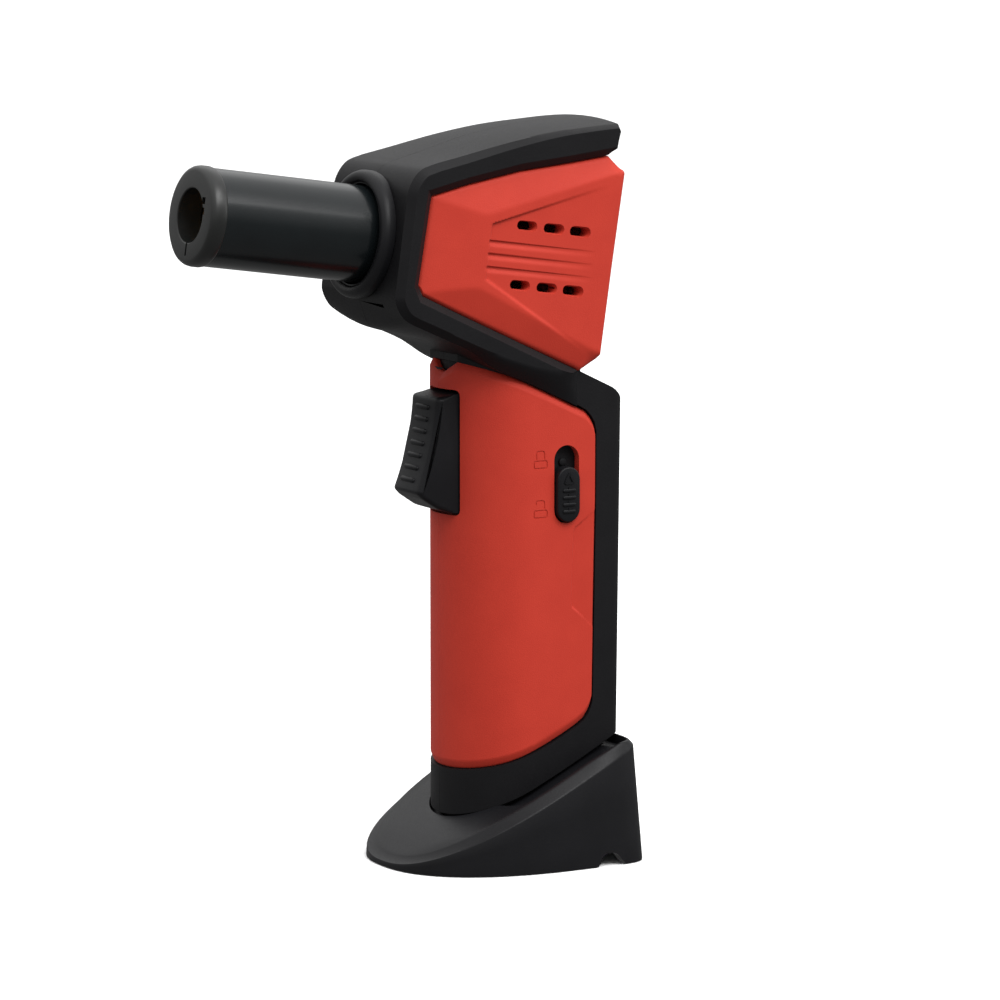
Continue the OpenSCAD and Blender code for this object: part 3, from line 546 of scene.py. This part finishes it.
def body():
    """The black moulding: handle, spine, foot and head, split into its two halves."""
    outline = [(x, foot_edge(x)) for x in np.arange(-15.0, 26.0, 1.5)]
    outline += [(27, 102.6), (24.66, 106.4), (24.3, 107.1), (23.7, 108), (22.9, 109), (22.3, 109.6),
                (14.1, 113.8), (-12.8, 121.4), (-12.8, 116.0), (-15, 113.8)]
    handle = column("handle", 0.0, 3, 125)
    combined(handle, prism("outline", outline, -30, 30), "INTERSECT")
    spigot = column("spigot", 2.8, 6, 28)
    combined(handle, spigot, "UNION")
    ring = prism("ring", grown(grip_outline(1.2), (1, 70), 1.0035), -30, 30)
    combined(ring, column("core", 2.2, 0, 130))
    combined(handle, ring)

    shell = head_shell()
    inside = grown([(0, -12.9), (2, -16.8), (5.6, -18.6), (48.6, -30.1), (50.6, -28.2), (51.2, -25.5),
                    (53, 27.8), (52.6, 31.2), (46.6, 30.6), (36.3, 28.2), (26.2, 25.2), (13.3, 20.4),
                    (6.4, 17.9), (2.8, 16), (1, 13.6), (0, 10.6)], HEAD_CENTRE, 0.9)
    combined(shell, prism("hollow", inside, -16.6, 16.6, head))
    combined(shell, turned("sleeve_hole", [(-1, 0.0), (-1, 12.6), (6, 12.6), (6, 0.0)], 96))
    combined(handle, shell, "UNION")
    combined(handle, panel_cutter())
    notch = prism("notch", [(50.2, 24), (56, 31), (56, 20)], -30, 30, head)
    combined(handle, notch)
    rounded_edges(handle, 0.45, 3, 33, lambda p: abs(p.y) > 15 or p.x > 24 or p.z > 168
                  or (p.x < -14 and p.z < 30) or p.x < -33.0)

    roof = prism("roof", [(-30, 0), (30, 0), (30, 104.4), (22, 104.4), (19, 109.2), (10.5, 112.6),
                          (10.5, 126), (-30, 126)], -30, 30)
    combined(roof, column("hollow", 4.8, 8.4, 125), "INTERSECT")
    combined(handle, roof)
    combined(handle, block("trigger_slot", (-60, -6.9, 81.2), (-4, 6.9, 109.9)))
    combined(handle, upright("wheel_slot", circle(15, 0, 10.7, 72), 77.6, 81.9))
    combined(handle, upright("valve_hole", circle(8, 0, 4.1), 5, 9.4))
    left = handle
    right = copied(handle, "right")
    combined(left, block("half", (-70, -0.04, -5), (60, 60, 190)))
    combined(right, block("half", (-70, -60, -5), (60, 0.04, 190)))
    combined(left, block("shank_slot", (8.8, -20, 81.7), (12.2, -10, 91.1)))
    screw_seats = ((30, 21.9, 17, head), (20, -19.4, 17, head), (16.5, 96, 11.9), (15.2, 12.2, 11.4))
    for x, z, depth, *place in screw_seats:
        combined(right, prism("hole", circle(x, z, 2.2, 32), depth, 40, *place))
    bump = lofted("bump", [[(x, y, z) for x, z in circle(LOCK_X, 92.9, r, 24)]
                           for y, r in ((-13.3, 0.95), (-14.1, 0.95), (-14.3, 0.8), (-14.38, 0.5))])
    joined(left, bump)
    # The spine flares a little towards its top
    for half in (left, right):
        for v in half.data.vertices:
            x, y, z = v.co / MM
            if z < 112:
                flare = float(np.interp(z, [28, 34, 83, 103], [0.0, 0.3, 0.55, 0.95]))
                v.co.x += MM * flare * blend(19.5, 24.6, x)
    piece(shaded(left, 35), "body_left", MATTE, "torch", "matte_black", "frame_left")
    piece(shaded(right, 35), "body_right", MATTE, "torch", "matte_black", "frame_right")


# ------------ red handle shells


def grip_low(x):
    """Lower edge of the red shells at an X."""
    if x < 13.2:
        return 25.5 + 0.35 * x + 0.0075 * x * x
    return float(np.interp(x, [13.2, 15.3, 16.5, 17.1, 17.5, 17.6], [31.4, 32.8, 34.4, 35.7, 37.1, 39.4]))


def grip_high(x):
    """Upper edge of the red shells at an X."""
    if -12.9 < x < 12.9:
        return 111.9 - 0.42 * x - 0.0035 * x * x
    return float(np.interp(x, [-14.1, -13.9, -13.4, -12.9, 12.9, 15.7, 17.0, 17.9, 18.4],
                           [113.9, 114.8, 115.9, 116.7, 105.9, 104.7, 103.3, 101.8, 99.5]))


def grip_rear(z):
    """X of the red shells' rear edge, beside the spine."""
    return float(np.interp(z, [40, 46, 60, 84, 93], [17.6, 17.7, 17.9, 18.35, 18.4]))


def grip_outline(step):
    """Side outline of the red shells' place in the body."""
    xs = list(np.arange(-15, 13, step)) + [13.2, 15.3, 16.5, 17.1, 17.5, 17.6]
    low = [(x, grip_low(x)) for x in xs]
    return low + GRIP_TOP


# Side outline of the shallow finger recess beside the spine
PATCH = [(19.5, 82.3), (18.4, 81.7), (12.9, 77.8), (12.45, 76.8), (12.0, 60.4), (12.3, 59.3),
         (17.4, 54.9), (19.5, 53.4)]


def inside_distance(point, outline):
    """Distance into a closed outline, negative outside it."""
    x, y = point
    best, inside = 1e9, False
    for (ax, ay), (bx, by) in zip(outline, outline[1:] + outline[:1]):
        dx, dy = bx - ax, by - ay
        t = min(1.0, max(0.0, ((x - ax) * dx + (y - ay) * dy) / (dx * dx + dy * dy)))
        best = min(best, math.hypot(x - ax - t * dx, y - ay - t * dy))
        if (ay > y) != (by > y) and x < (bx - ax) * (y - ay) / (by - ay) + ax:
            inside = not inside
    return best if inside else -best


def grip(side):
    """One red shell, wrapped round the handle from the front seam to the spine."""
    end = ARC + grip_rear(100) - GRIP_CX
    rounds = [0.02, 0.12, 0.3] + list(np.arange(0.9, ARC + 8.7, 0.9))
    rounds += list(np.arange(ARC + 8.9, end - 0.9, 0.24))
    rounds += [end - n for n in (0.8, 0.55, 0.35, 0.2, 0.08, 0)]
    near = [0, 0.1, 0.25, 0.5, 0.8, 1.1, 1.5, 1.9, 2.3, 2.8]
    outer, inner = [], []
    for s in rounds:
        x0, _ = on_grip(s, side)
        across = max(0.0, x0 - GRIP_CX) / (grip_rear(100) - GRIP_CX)
        low, high = grip_low(x0 - across * (grip_rear(100) - grip_rear(0))), grip_high(x0)
        zs = [low + n for n in near]
        for start, stop, count in ((low + 3.4, 53, 20), (53.4, 83.4, 76), (84, high - 3.4, 34)):
            zs += list(np.linspace(start, stop, count))
        zs += [high - n for n in near[::-1]]
        column_out, column_in = [], []
        for z in zs:
            b = min(z - low, high - z)
            bevel = 1.0 if high - z < z - low else 0.9
            depth = bevel * max(0.0, 1 - b / 2.1) ** 1.25
            depth += 0.35 * max(0.0, 1 - b / 0.3) ** 2
            rear = end - s
            depth = max(depth, 0.45 * max(0.0, 1 - rear / 0.6) ** 2)
            depth = max(depth, 0.03 * max(0.0, 1 - (s - 0.02) / 0.25) ** 2)
            if side < 0 and x0 > 11:
                d = inside_distance((x0, z), PATCH)
                depth += 0.42 * blend(-0.05, 0.3, d) * (1 - 0.7 * blend(13, 18.4, x0))
            slant = across * (grip_rear(100) - grip_rear(z))
            (ax, ay), (bx, by) = on_grip(s, side, depth), on_grip(s, side, 2.0)
            column_out.append((ax - slant, ay, z))
            column_in.append((bx - slant, by, z))
        outer.append(column_out)
        inner.append(column_in)
    rings = [o + i[::-1] for o, i in zip(outer, inner)]
    return lofted("grip", rings)


def obround(x, low, high, radius, steps):
    """An upright slot's outline with round ends."""
    bends = [(radius * math.cos(math.pi * k / steps), radius * math.sin(math.pi * k / steps))
             for k in range(steps + 1)]
    return ([(x + c, high - radius + s) for c, s in bends]
            + [(x - c, low + radius - s) for c, s in bends])


def stroke(points, half, closed=False):
    """A band of even width along a path, as inner and outer points."""
    pts = [Vector(p) for p in points]
    out, inn = [], []
    for i, p in enumerate(pts):
        a = pts[i - 1] if i or closed else p - (pts[1] - p)
        b = pts[(i + 1) % len(pts)] if i < len(pts) - 1 or closed else p + (p - pts[-2])
        d = ((p - a).normalized() + (b - p).normalized()).normalized()
        n = Vector((-d.y, d.x)) * half / max(0.5, d.dot((b - p).normalized()))
        out.append(tuple(p + n))
        inn.append(tuple(p - n))
    return out, inn


def engraved(obj, path, depth, half=0.17, closed=True):
    """Cuts a line of even width into the flat side of the left shell."""
    out, inn = stroke(path, half, closed)
    low, high = -GRIP_R + depth, -GRIP_R - 1
    if closed:
        rings = [[(x, y, z) for x, z in ring]
                 for ring, y in ((out, low), (out, high), (inn, high), (inn, low))]
        cutter = lofted("line", rings, closed=True)
    else:
        ring = out + inn[::-1]
        cutter = lofted("line", [[(x, y, z) for x, z in ring] for y in (low, high)])
    combined(obj, cutter)


def padlock_sign(shell, low, is_open):
    """Engraves a plain padlock outline in the shell's flat side."""
    x = 3.55
    box = [(x - 1.7, low), (x + 1.7, low), (x + 1.7, low + 1.65), (x - 1.7, low + 1.65)]
    engraved(shell, filleted(box, 0.35, 3), 0.16)
    far, start, end = (1.15, 2.1, 3.0) if is_open else (1.05, 2.0, 2.0)
    bow = [(x + 1.05, low + start), (x + 1.05, low + 3.9), (x - far, low + 3.9), (x - far, low + end)]
    engraved(shell, filleted(bow, [0, 0.6, 0.6, 0], 4), 0.16, closed=False)


def by_trigger_or_lock(p):
    """Whether an edge is round the trigger's slot or the lock's."""
    trigger_side = p.x < -9 and 0.3 < abs(p.y) < 7.8
    lock_side = abs(p.x - LOCK_X) < 3.6 and p.z < 98 and p.y < -15.9
    return 79 < p.z < 113 and (trigger_side or lock_side)


def grips():
    """Both red handle shells, with the trigger's slot and, on the left, the lock's slot and signs."""
    for side, name in ((-1, "left"), (1, "right")):
        shell = grip(side)
        slot = filleted([(-7.0, 81.1), (7.0, 81.1), (7.0, 110.0), (-7.0, 110.0)], 1.5, 5)
        combined(shell, lofted("slot", [[(x, y, z) for y, z in slot] for x in (-30, -4)]))
        if side < 0:
            combined(shell, prism("lock", obround(LOCK_X, 78.9, 97, 3.3, 16), -20, -10))
            padlock_sign(shell, 92.05, False)
            padlock_sign(shell, 80.65, True)
        rounded_edges(shell, 0.3, 2, 50, by_trigger_or_lock)
        piece(shaded(shell, 32), "grip_shell_" + name, RED, "torch", "soft_red", "grip_" + name)


# ------------ red head shells

# Places of the vents along and up the head, and of the grooves up it
VENT_U, VENT_W = (31.0, 38.0, 44.9), (6.4, -7.1)
GROOVES = (1.75, -1.2, -4.15)


def panel_height(u, w, bounds):
    """Distance of the panel's outer face from the middle plane."""
    low, high = bounds
    ridge_high = 7.7 + (u - 19.9) * (20.9 - 7.7) / (53.5 - 19.9)
    ridge_low = -8.7 - (u - 20.6) * (20.4 - 8.7) / (53.0 - 20.6)
    front = 17.3 + 1.9 * (u - 6.0) / 14.2
    top = 17.3 + 1.9 * (high - w) / max(high - ridge_high, 0.5)
    bottom = 17.3 + 1.9 * (w - low) / max(ridge_low - low, 0.5)
    h = soft_min(19.2, front, 0.16)
    h = soft_min(h, top, 0.16)
    h = soft_min(h, bottom, 0.16)
    # Recessed wedge, deepest in front, and its grooves
    line_high = 6.1 + (u - 21.9) * (17.1 - 6.1) / (49.5 - 21.9)
    line_low = -6.6 - (u - 21.6) * (19.3 - 6.6) / (47.2 - 21.6)
    fade = max(0.0, min(1.0, (51 - u) / 29))
    inside = blend(-0.05, 0.3, line_high - w) * blend(-0.1, 0.5, w - line_low) * blend(-0.15, 0.5, u - 21.7)
    h -= 0.75 * fade * inside
    along = blend(0.0, 0.55, u - 21.4) * max(0.0, min(1.0, (49.5 - u) / 27)) ** 0.8
    for g in GROOVES:
        d = g + 0.62 - w
        if -0.2 < d < 1.7:
            h -= 0.5 * along * blend(-0.08, 0.16, d) * (1 - blend(0.5, 1.55, d))
    return h


def head_panel(side):
    """One red head shell: a sculpted outer face, a plain inner one, and walls to the middle plane."""
    def grid(factor, drop, plain):
        """Rows of points over a face, close together where it bends."""
        outline = grown(PANEL, PANEL_CENTRE, factor)
        left, right = (outline[0], outline[-1]), outline[5:8]
        left_u, left_w = zip(*left)
        right_u, right_w = zip(*right)
        lu, lw = zip(*outline[:6])
        hu, hw = zip(*outline[:6:-1])
        near = [0, 0.1, 0.25, 0.45, 0.7, 1.0]
        run = 48.9
        columns = near + list(np.arange(1.4, 47.3, 0.4)) + [run - n for n in near[::-1]]
        columns = [c / run for c in columns]
        middle = []
        w = -8.6
        while w < 8.61:
            middle.append(w)
            fine = any(-0.3 < g + 0.62 - w < 1.0 for g in GROOVES)
            w += 0.12 if fine else 0.3
        outer_share = [0, 0.012, 0.03, 0.055, 0.09, 0.13] + list(np.linspace(0.17, 1.0, 34))
        rows = []
        count = 2 * (len(outer_share) - 1) + len(middle)
        for j in range(count):
            row = []
            for c in columns:
                guess = 0.0
                for _ in range(3):
                    a, b = np.interp(guess, left_w, left_u), np.interp(guess, right_w, right_u)
                    u = a + (b - a) * c
                    low, high = np.interp(u, lu, lw), np.interp(u, hu, hw)
                    bottom, top = max(middle[0], low + 1.0), min(middle[-1], high - 1.0)
                    if j < len(outer_share) - 1:
                        guess = low + (bottom - low) * outer_share[j]
                    elif j < len(outer_share) - 1 + len(middle):
                        m = middle[j - len(outer_share) + 1]
                        guess = bottom + (m - middle[0]) / (middle[-1] - middle[0]) * (top - bottom)
                    else:
                        guess = high + (top - high) * outer_share[count - 1 - j]
                h = 17.75 if plain else panel_height(u, guess, (low, high))
                edge = min(guess - low, high - guess, u - a, b - u)
                if not plain:
                    h -= 0.55 * max(0.0, 1 - edge / 0.9) ** 2
                h -= drop
                row.append(head(u, side * h, guess))
            rows.append(row)
        return rows

    points, faces = [], []

    def add_grid(rows):
        """Adds the rows' points and faces, and returns the numbers of the points round its rim."""
        base = len(points)
        n = len(rows[0])
        for r in rows:
            points.extend(r)
        for j in range(len(rows) - 1):
            for i in range(n - 1):
                a = base + j * n + i
                faces.append((a, a + 1, a + n + 1, a + n))
        return ([base + i for i in range(n)] + [base + j * n + n - 1 for j in range(1, len(rows))]
                + [base + (len(rows) - 1) * n + i for i in range(n - 2, -1, -1)]
                + [base + j * n for j in range(len(rows) - 2, 0, -1)])

    outer_ring = add_grid(grid(1.0, 0.0, False))
    inner_ring = add_grid(grid(0.915, 2.3, True))
    walls = []
    for ring in (outer_ring, inner_ring):
        base = len(points)
        for k in ring:
            x, y, z = points[k]
            points.append((x, side * 0.04, z))
        walls.append(list(range(base, base + len(ring))))
    n = len(outer_ring)
    for k in range(n):
        m = (k + 1) % n
        faces.append((outer_ring[k], outer_ring[m], walls[0][m], walls[0][k]))
        faces.append((walls[0][k], walls[0][m], walls[1][m], walls[1][k]))
        faces.append((walls[1][k], walls[1][m], inner_ring[m], inner_ring[k]))
    panel = new_object("panel", points, faces)
    for u in VENT_U:
        for w in VENT_W:
            slot = [(u + a, w + b) for a, b in vent_outline(2.45, 0.975)]
            mouth = [(u + a, w + b) for a, b in vent_outline(2.75, 1.275)]
            rings = [[head(a, side * y, b) for a, b in ring]
                     for y, ring in ((14.0, slot), (18.25, slot), (19.0, mouth), (21, mouth))]
            combined(panel, lofted("vent", rings))
    combined(panel, turned("front_hole", [(0, 0.0), (0, 14.0), (12, 14.0), (12, 0.0)], 96))
    combined(panel, block("down_hole", (-9, -10, 100), (11, 10, 124)))
    return panel


def vent_outline(half_length, radius, steps=8):
    """A level slot's outline with round ends, about its own middle."""
    straight = half_length - radius
    pts = []
    for k in range(steps + 1):
        a = -math.pi / 2 + math.pi * k / steps
        pts.append((straight + radius * math.cos(a), radius * math.sin(a)))
    for k in range(steps + 1):
        a = math.pi / 2 + math.pi * k / steps
        pts.append((-straight + radius * math.cos(a), radius * math.sin(a)))
    return pts


def head_panels():
    for side, name in ((-1, "left"), (1, "right")):
        panel = shaded(head_panel(side), 36, weighted=False)
        piece(panel, "head_shell_" + name, RED, "torch", "soft_red", "head_panel_" + name)


# ------------ trigger and lock


def finger_x(z, y):
    """X of the trigger's finger face."""
    drop = max(107.6 - z, 0.0)
    crown = 0.5 * max(0.0, 1 - (y / TRIGGER_HALF) ** 2)
    return -17.75 - 0.0713 * drop - 0.0084 * drop * drop - crown


def trigger():
    """The finger button with its ribs, stop lips, ramp for the lever and arm for the lock."""
    def profile(y, inset):
        """The trigger's side outline at a Y, drawn in round the finger face by an inset."""
        points = [(-7, 81.6), (-11, 81.6), (-14, 81.65), (-17.5, 82.75), (-21.5, 85.4),
                  (finger_x(87.0, y) - 0.05, 86.9)]
        radii = [0, 0, 2.5, 6, 2.0, 1.0]
        for z in np.arange(88.3, 106.9, 0.9):
            points.append((finger_x(z, y), z))
            radii.append(0)
        points += [(finger_x(108.6, y), 108.45), (-13.5, 109.1), (-11, 109.2), (-7, 109.2)]
        radii += [1.6, 1.5, 0, 0]
        outline = filleted(points, radii, 6)
        if inset <= 0:
            return outline
        drawn = offset_outline(outline, -inset)
        return [(x + (dx - x) * blend(-13.2, -15.0, x), z + (dz - z) * blend(-13.2, -15.0, x))
                for (x, z), (dx, dz) in zip(outline, drawn)]

    edge = 1.15
    rows = []
    for a in range(90, 0, -15):
        rows.append((edge * (1 - math.sin(math.radians(a))), edge * (1 - math.cos(math.radians(a)))))
    middle = [(y, 0.0) for y in np.linspace(edge, TRIGGER_HALF, 9)]
    half = [(TRIGGER_HALF - d, inset) for d, inset in rows + middle]
    rings = []
    for y, inset in [(-h, i) for h, i in half] + [(h, i) for h, i in half[-2::-1]]:
        rings.append([(x, y * (1 + 0.4 / TRIGGER_HALF * (x + 24) / 17), z) for x, z in profile(y, inset)])
    button = lofted("button", rings)
    # Each rib is a round rod with round ends, sunk in the finger face
    reach, size = 3.05, 0.64
    turns = np.linspace(0, 2 * math.pi, 17)[:-1]
    for k in range(7):
        z = 89.45 + 2.76 * k
        rib = []
        for a in np.linspace(-90, 90, 13):
            y = math.copysign(reach - size, a) + size * math.sin(math.radians(a))
            r = max(0.05, size * math.cos(math.radians(a)))
            x = finger_x(z, y) + 0.1
            rib.append([(x - r * math.cos(b), y, z + r * math.sin(b)) for b in turns])
        joined(button, lofted("rib", rib))
    for z in (79.8, 109.0):
        joined(button, block("lip", (-8.2, -4, z), (-5.9, 4, z + 2.6)))
    ramp = prism("ramp", [(-7.1, 88.2), (-3, 88.8), (-3, 91), (-7.1, 91.4)], -2.2, 2.2)
    arm = block("arm", (-7.1, -6.6, 96), (-1, -4.2, 99.2))
    nose = block("nose", (-2.6, -9.2, 92.5), (-1, -4.2, 99.2))
    joined(button, ramp, arm, nose)
    piece(shaded(button, 34, weighted=False), "trigger_button", SATIN, "trigger", "satin_black", "trigger")


def lock():
    """The sliding pad, its arrow and its ribs."""
    rings = []
    for y, r, grow in ((-14.6, 3.0, 0), (-16.75, 3.0, 0), (-17.0, 2.93, -0.07), (-17.16, 2.8, -0.2),
                       (-17.2, 2.6, -0.4)):
        rings.append([(x, y, z) for x, z in obround(LOCK_X, 79.3 - grow, 92.1 + grow, r, 14)])
    pad = lofted("pad", rings)
    shank = block("shank", (9.0, -15, 82.0), (12.0, -10.9, 86.2))
    joined(pad, shank)
    for k in range(4):
        z = 81.8 + 1.62 * k
        rib = []
        for y, grow in ((-17.1, 0.0), (-17.4, -0.03), (-17.52, -0.12), (-17.56, -0.25)):
            rib.append([(LOCK_X + a, y, z + b) for a, b in vent_outline(1.75 + grow, 0.42 + grow)])
        joined(pad, lofted("rib", rib))
        joined(pad, prism("dot", circle(LOCK_X, z + 0.55, 0.26, 12), -17.1, -17.5))
    arrow = filleted([(9.3, 88.35), (11.7, 88.35), (10.5, 90.7)], 0.25, 3)
    out, inn = stroke(arrow, 0.24, True)
    rings = [[(x, y, z) for x, z in ring]
             for ring, y in ((out, -17.1), (out, -17.45), (inn, -17.45), (inn, -17.1))]
    joined(pad, lofted("arrow", rings, closed=True))
    piece(shaded(pad, 40, weighted=False), "lock_pad", SATIN, "lock", "satin_black", "lock_slider")


# ------------ stand

STAND_CX = 9.0


def stand_edge(grow, angle):
    """X and Y of the stand's footprint at an angle, moved out by a distance."""
    c, s = math.cos(angle), math.sin(angle)
    front, rear, half = 57.5 - 28 + STAND_CX + grow, 28 - STAND_CX + grow, 26.7 + grow
    if c < 0:
        return STAND_CX - front * (-c) ** 0.84, math.copysign(half * abs(s) ** 0.84, s)
    return STAND_CX + rear * c ** 0.28, math.copysign(half * abs(s) ** 0.28, s)


def on_section(angle, grow):
    """Where a ray from inside the handle's section meets its outline, moved out by a distance."""
    cx = SECTION_CX
    dx, dy = math.cos(angle), math.sin(angle)
    corner = max(SPINE_R + grow, 0.05)
    corner_x, corner_y = SPINE_X + grow - corner, GRIP_R + grow - corner
    low, high = 0.0, 60.0
    for _ in range(40):
        r = (low + high) / 2
        x, y = cx + dx * r, abs(dy * r)
        if x < GRIP_CX:
            inside = math.hypot(x - GRIP_CX, y) < GRIP_R + grow
        elif x > corner_x and y > corner_y:
            inside = math.hypot(x - corner_x, y - corner_y) < corner
        else:
            inside = y < GRIP_R + grow and x < SPINE_X + grow
        if inside:
            low = r
        else:
            high = r
    return cx + dx * low, dy * low


def stand():
    """The wedge base: leaning wall, bevel, deck, trench and socket, hollow from below."""
    steps = 200
    draft = math.tan(math.radians(3.8))
    # Even spacing round the outline
    fine = [2 * math.pi * k / 3600 for k in range(3601)]
    pts = [stand_edge(0, a) for a in fine]
    run = [0.0]
    for p, q in zip(pts, pts[1:]):
        run.append(run[-1] + math.hypot(q[0] - p[0], q[1] - p[1]))
    angles = [float(np.interp(run[-1] * k / steps, run, fine)) for k in range(steps)]

    def wall_point(a, grow, height):
        """A point on the leaning wall, at a height set by a function of X."""
        z = 10.0
        for _ in range(8):
            x, y = stand_edge(grow - z * draft, a)
            z = height(x)
        return x, y, z

    def crest_point(a, share, drop):
        """A point on the bevel between the wall's edge and the crest."""
        wall = wall_point(a, 0, stand_wall_top)
        inset = 2.35 - 1.55 * blend(12, 25, wall[0])
        x, y = stand_edge(-wall[2] * draft - inset * share, a)
        return x, y, wall[2] + (stand_surface(x) - wall[2]) * min(share, 1.0) - drop

    def deck(x, y):
        """Top surface inside the rim, crowned in front of the foot."""
        rise = 0.55 * blend(2, -6, x) * max(0.0, 1 - (y / 19.5) ** 2)
        return stand_surface(x) + rise * blend(-27, -20, x)

    rings = []
    for grow, z in ((-0.4, 0.0), (-0.05, 0.25), (-0.04, 0.6)):
        rings.append([(*stand_edge(grow, a), z) for a in angles])
    for share in (0.3, 0.65):
        rings.append([wall_point(a, 0, lambda x: 0.6 + (stand_wall_top(x) - 0.9) * share) for a in angles])
    rings.append([wall_point(a, 0, lambda x: stand_wall_top(x) - 0.22) for a in angles])
    for share, drop in ((0.035, 0.02), (0.13, 0.0), (0.82, 0.0), (0.93, 0.02), (1.03, 0.06)):
        rings.append([crest_point(a, share, drop) for a in angles])
    crest_in = [crest_point(a, 1.18, 0.0) for a in angles]
    rings.append(crest_in)
    trench = []
    socket = []
    for x, y, z in crest_in:
        angle = math.atan2(y, x - SECTION_CX)
        sx, sy = on_section(angle, 0.3)
        reach = math.hypot(x - sx, y - sy)
        # Behind the foot's front the trench opens out to the rim's crest
        wide = blend(-7.5, 0, sx)
        d = 0.05 + (reach - 0.35) * wide
        d = min(d, max(reach - 0.3, 0.05))
        ux, uy = (x - sx) / max(reach, 1e-6), (y - sy) / max(reach, 1e-6)
        trench.append((sx + ux * d, sy + uy * d))
        socket.append(on_section(angle, -2.4))
    for share in (0.1, 0.25, 0.45, 0.65, 0.85, 0.97):
        rings.append([((1 - share) * c[0] + share * t[0], (1 - share) * c[1] + share * t[1],
                       deck((1 - share) * c[0] + share * t[0], (1 - share) * c[1] + share * t[1]))
                      for c, t in zip(crest_in, trench)])
    rings.append([(x, y, deck(x, y) - 0.08) for x, y in trench])
    depth = 2.2
    inner_edge = []
    for (x, y), (c, s) in zip(trench, socket):
        dx, dy = c - x, s - y
        n = math.hypot(dx, dy)
        inner_edge.append((x + dx / n * 0.15, y + dy / n * 0.15))
    rings.append([(x, y, deck(x, y) - 0.3) for x, y in inner_edge])
    rings.append([(x, y, stand_surface(x) - depth) for x, y in inner_edge])
    rings.append([(x, y, stand_surface(x) - depth) for x, y in socket])
    rings.append([(x, y, 6.0) for x, y in socket])
    # Hollow underside, round the socket's sleeve
    under_drop = 4.1
    under = [[(*stand_edge(-2.4, a), 0.0) for a in angles]]
    under.append([wall_point(a, -2.4, lambda x: max(stand_surface(x) - under_drop, 0.05)) for a in angles])
    floor_ring = [on_section(math.atan2(y, x - SECTION_CX), -0.4) for x, y, z in crest_in]
    under.append([(x, y, stand_surface(x) - under_drop) for x, y in floor_ring])
    under.append([(x, y, 3.6) for x, y in floor_ring])
    base = lofted("stand", rings[::-1] + under, capped=True)
    combined(base, upright("hole", circle(8, 0, 6.0), -2, 8))
    arch = smooth_curve([(12.3, -0.3), (13.3, 0.7), (14.0, 2.05), (14.8, 2.8), (16.6, 3.2), (18.3, 2.5),
                         (19.35, 1.25), (20.45, 0.1), (20.7, -0.4)], 0.4)
    combined(base, prism("arch", [(12.0, -1)] + arch + [(20.8, -1)], -40, 40))
    rib_front = prism("rib", [(-26, 0), (1.9, 0), (1.9, 4.6), (-20, 4.6), (-26, 1.4)], -1, 1)
    rib_across = block("rib", (-1, -25, 0), (1, 25, 4.6))
    rib_rear = block("rib", (14.1, -1, 0), (26.4, 1, 4.6))
    joined(base, rib_front, rib_across, rib_rear)
    piece(shaded(base, 38, weighted=False), "stand_base", SATIN, "stand", "satin_black", "stand")


# ------------ build

for look, *node_names in NODE_LOOKS:
    for node_name in node_names:
        dressed(node_name, look)
nozzle()
body()
grips()
head_panels()
trigger()
lock()
stand()

# ------------ studio


def studio():
    """Pale floor, soft light and the camera."""
    far = 9000
    corners = [(-far, -far, 0), (far, -far, 0), (far, far, 0), (-far, far, 0)]
    floor = new_object("floor", corners, [(0, 1, 2, 3)])
    floor.data.materials.append(FLOOR)
    # The floor shows and takes shadows, and throws little light back on the torch
    floor.visible_diffuse = False
    floor.visible_glossy = False

    world = bpy.data.worlds.new("studio")
    bpy.context.scene.world = world
    world.use_nodes = True
    tree = world.node_tree
    back = tree.nodes["Background"]
    back.inputs["Color"].default_value = (1, 1, 1, 1)
    # Brighter overhead, dimmer in front of the nozzle
    place = tree.nodes.new("ShaderNodeTexCoord")
    split = tree.nodes.new("ShaderNodeSeparateXYZ")
    tree.links.new(place.outputs["Generated"], split.inputs["Vector"])
    level = tree.nodes.new("ShaderNodeMath")
    level.operation = "MULTIPLY"
    tree.links.new(map_range(tree, split.outputs["Z"], -0.08, 1.0, 0.26, 1.7), level.inputs[0])
    tree.links.new(map_range(tree, split.outputs["X"], -0.9, 0.2, 1.2, 1.0), level.inputs[1])
    tree.links.new(level.outputs["Value"], back.inputs["Strength"])

    def softbox(name, place, aim, size, power):
        light = bpy.data.lights.new(name, "AREA")
        light.shape, light.size, light.size_y, light.energy = "RECTANGLE", size[0], size[1], power
        lamp = bpy.data.objects.new(name, light)
        bpy.context.scene.collection.objects.link(lamp)
        lamp.location = place
        lamp.rotation_mode = "QUATERNION"
        lamp.rotation_quaternion = (Vector(aim) - Vector(place)).to_track_quat("-Z", "Y")

    aim = (0, 0, 0.09)
    softbox("key", (0.15, -0.85, 1.1), aim, (1.0, 0.6), 14)
    softbox("side", (1.1, -0.75, 0.55), aim, (0.7, 0.9), 4)
    softbox("rim", (0.4, 0.95, 0.9), aim, (1.2, 0.6), 0.8)

    camera_data = bpy.data.cameras.new("camera")
    camera = bpy.data.objects.new("camera", camera_data)
    bpy.context.scene.collection.objects.link(camera)
    camera_data.sensor_width = 36
    camera_data.lens = 171.9
    camera_data.clip_start, camera_data.clip_end = 0.05, 60
    azimuth, elevation, distance = math.radians(-30), math.radians(8), 1.1
    away = Vector((math.sin(azimuth) * math.cos(elevation), -math.cos(azimuth) * math.cos(elevation),
                   math.sin(elevation)))
    camera.location = Vector((0.0002, -0.0033, 0.0835)) + away * distance
    camera.rotation_mode = "QUATERNION"
    camera.rotation_quaternion = (-away).to_track_quat("-Z", "Y")
    bpy.context.scene.camera = camera
    bpy.context.scene.view_settings.view_transform = "Standard"
    bpy.context.scene.view_settings.look = "None"


studio()
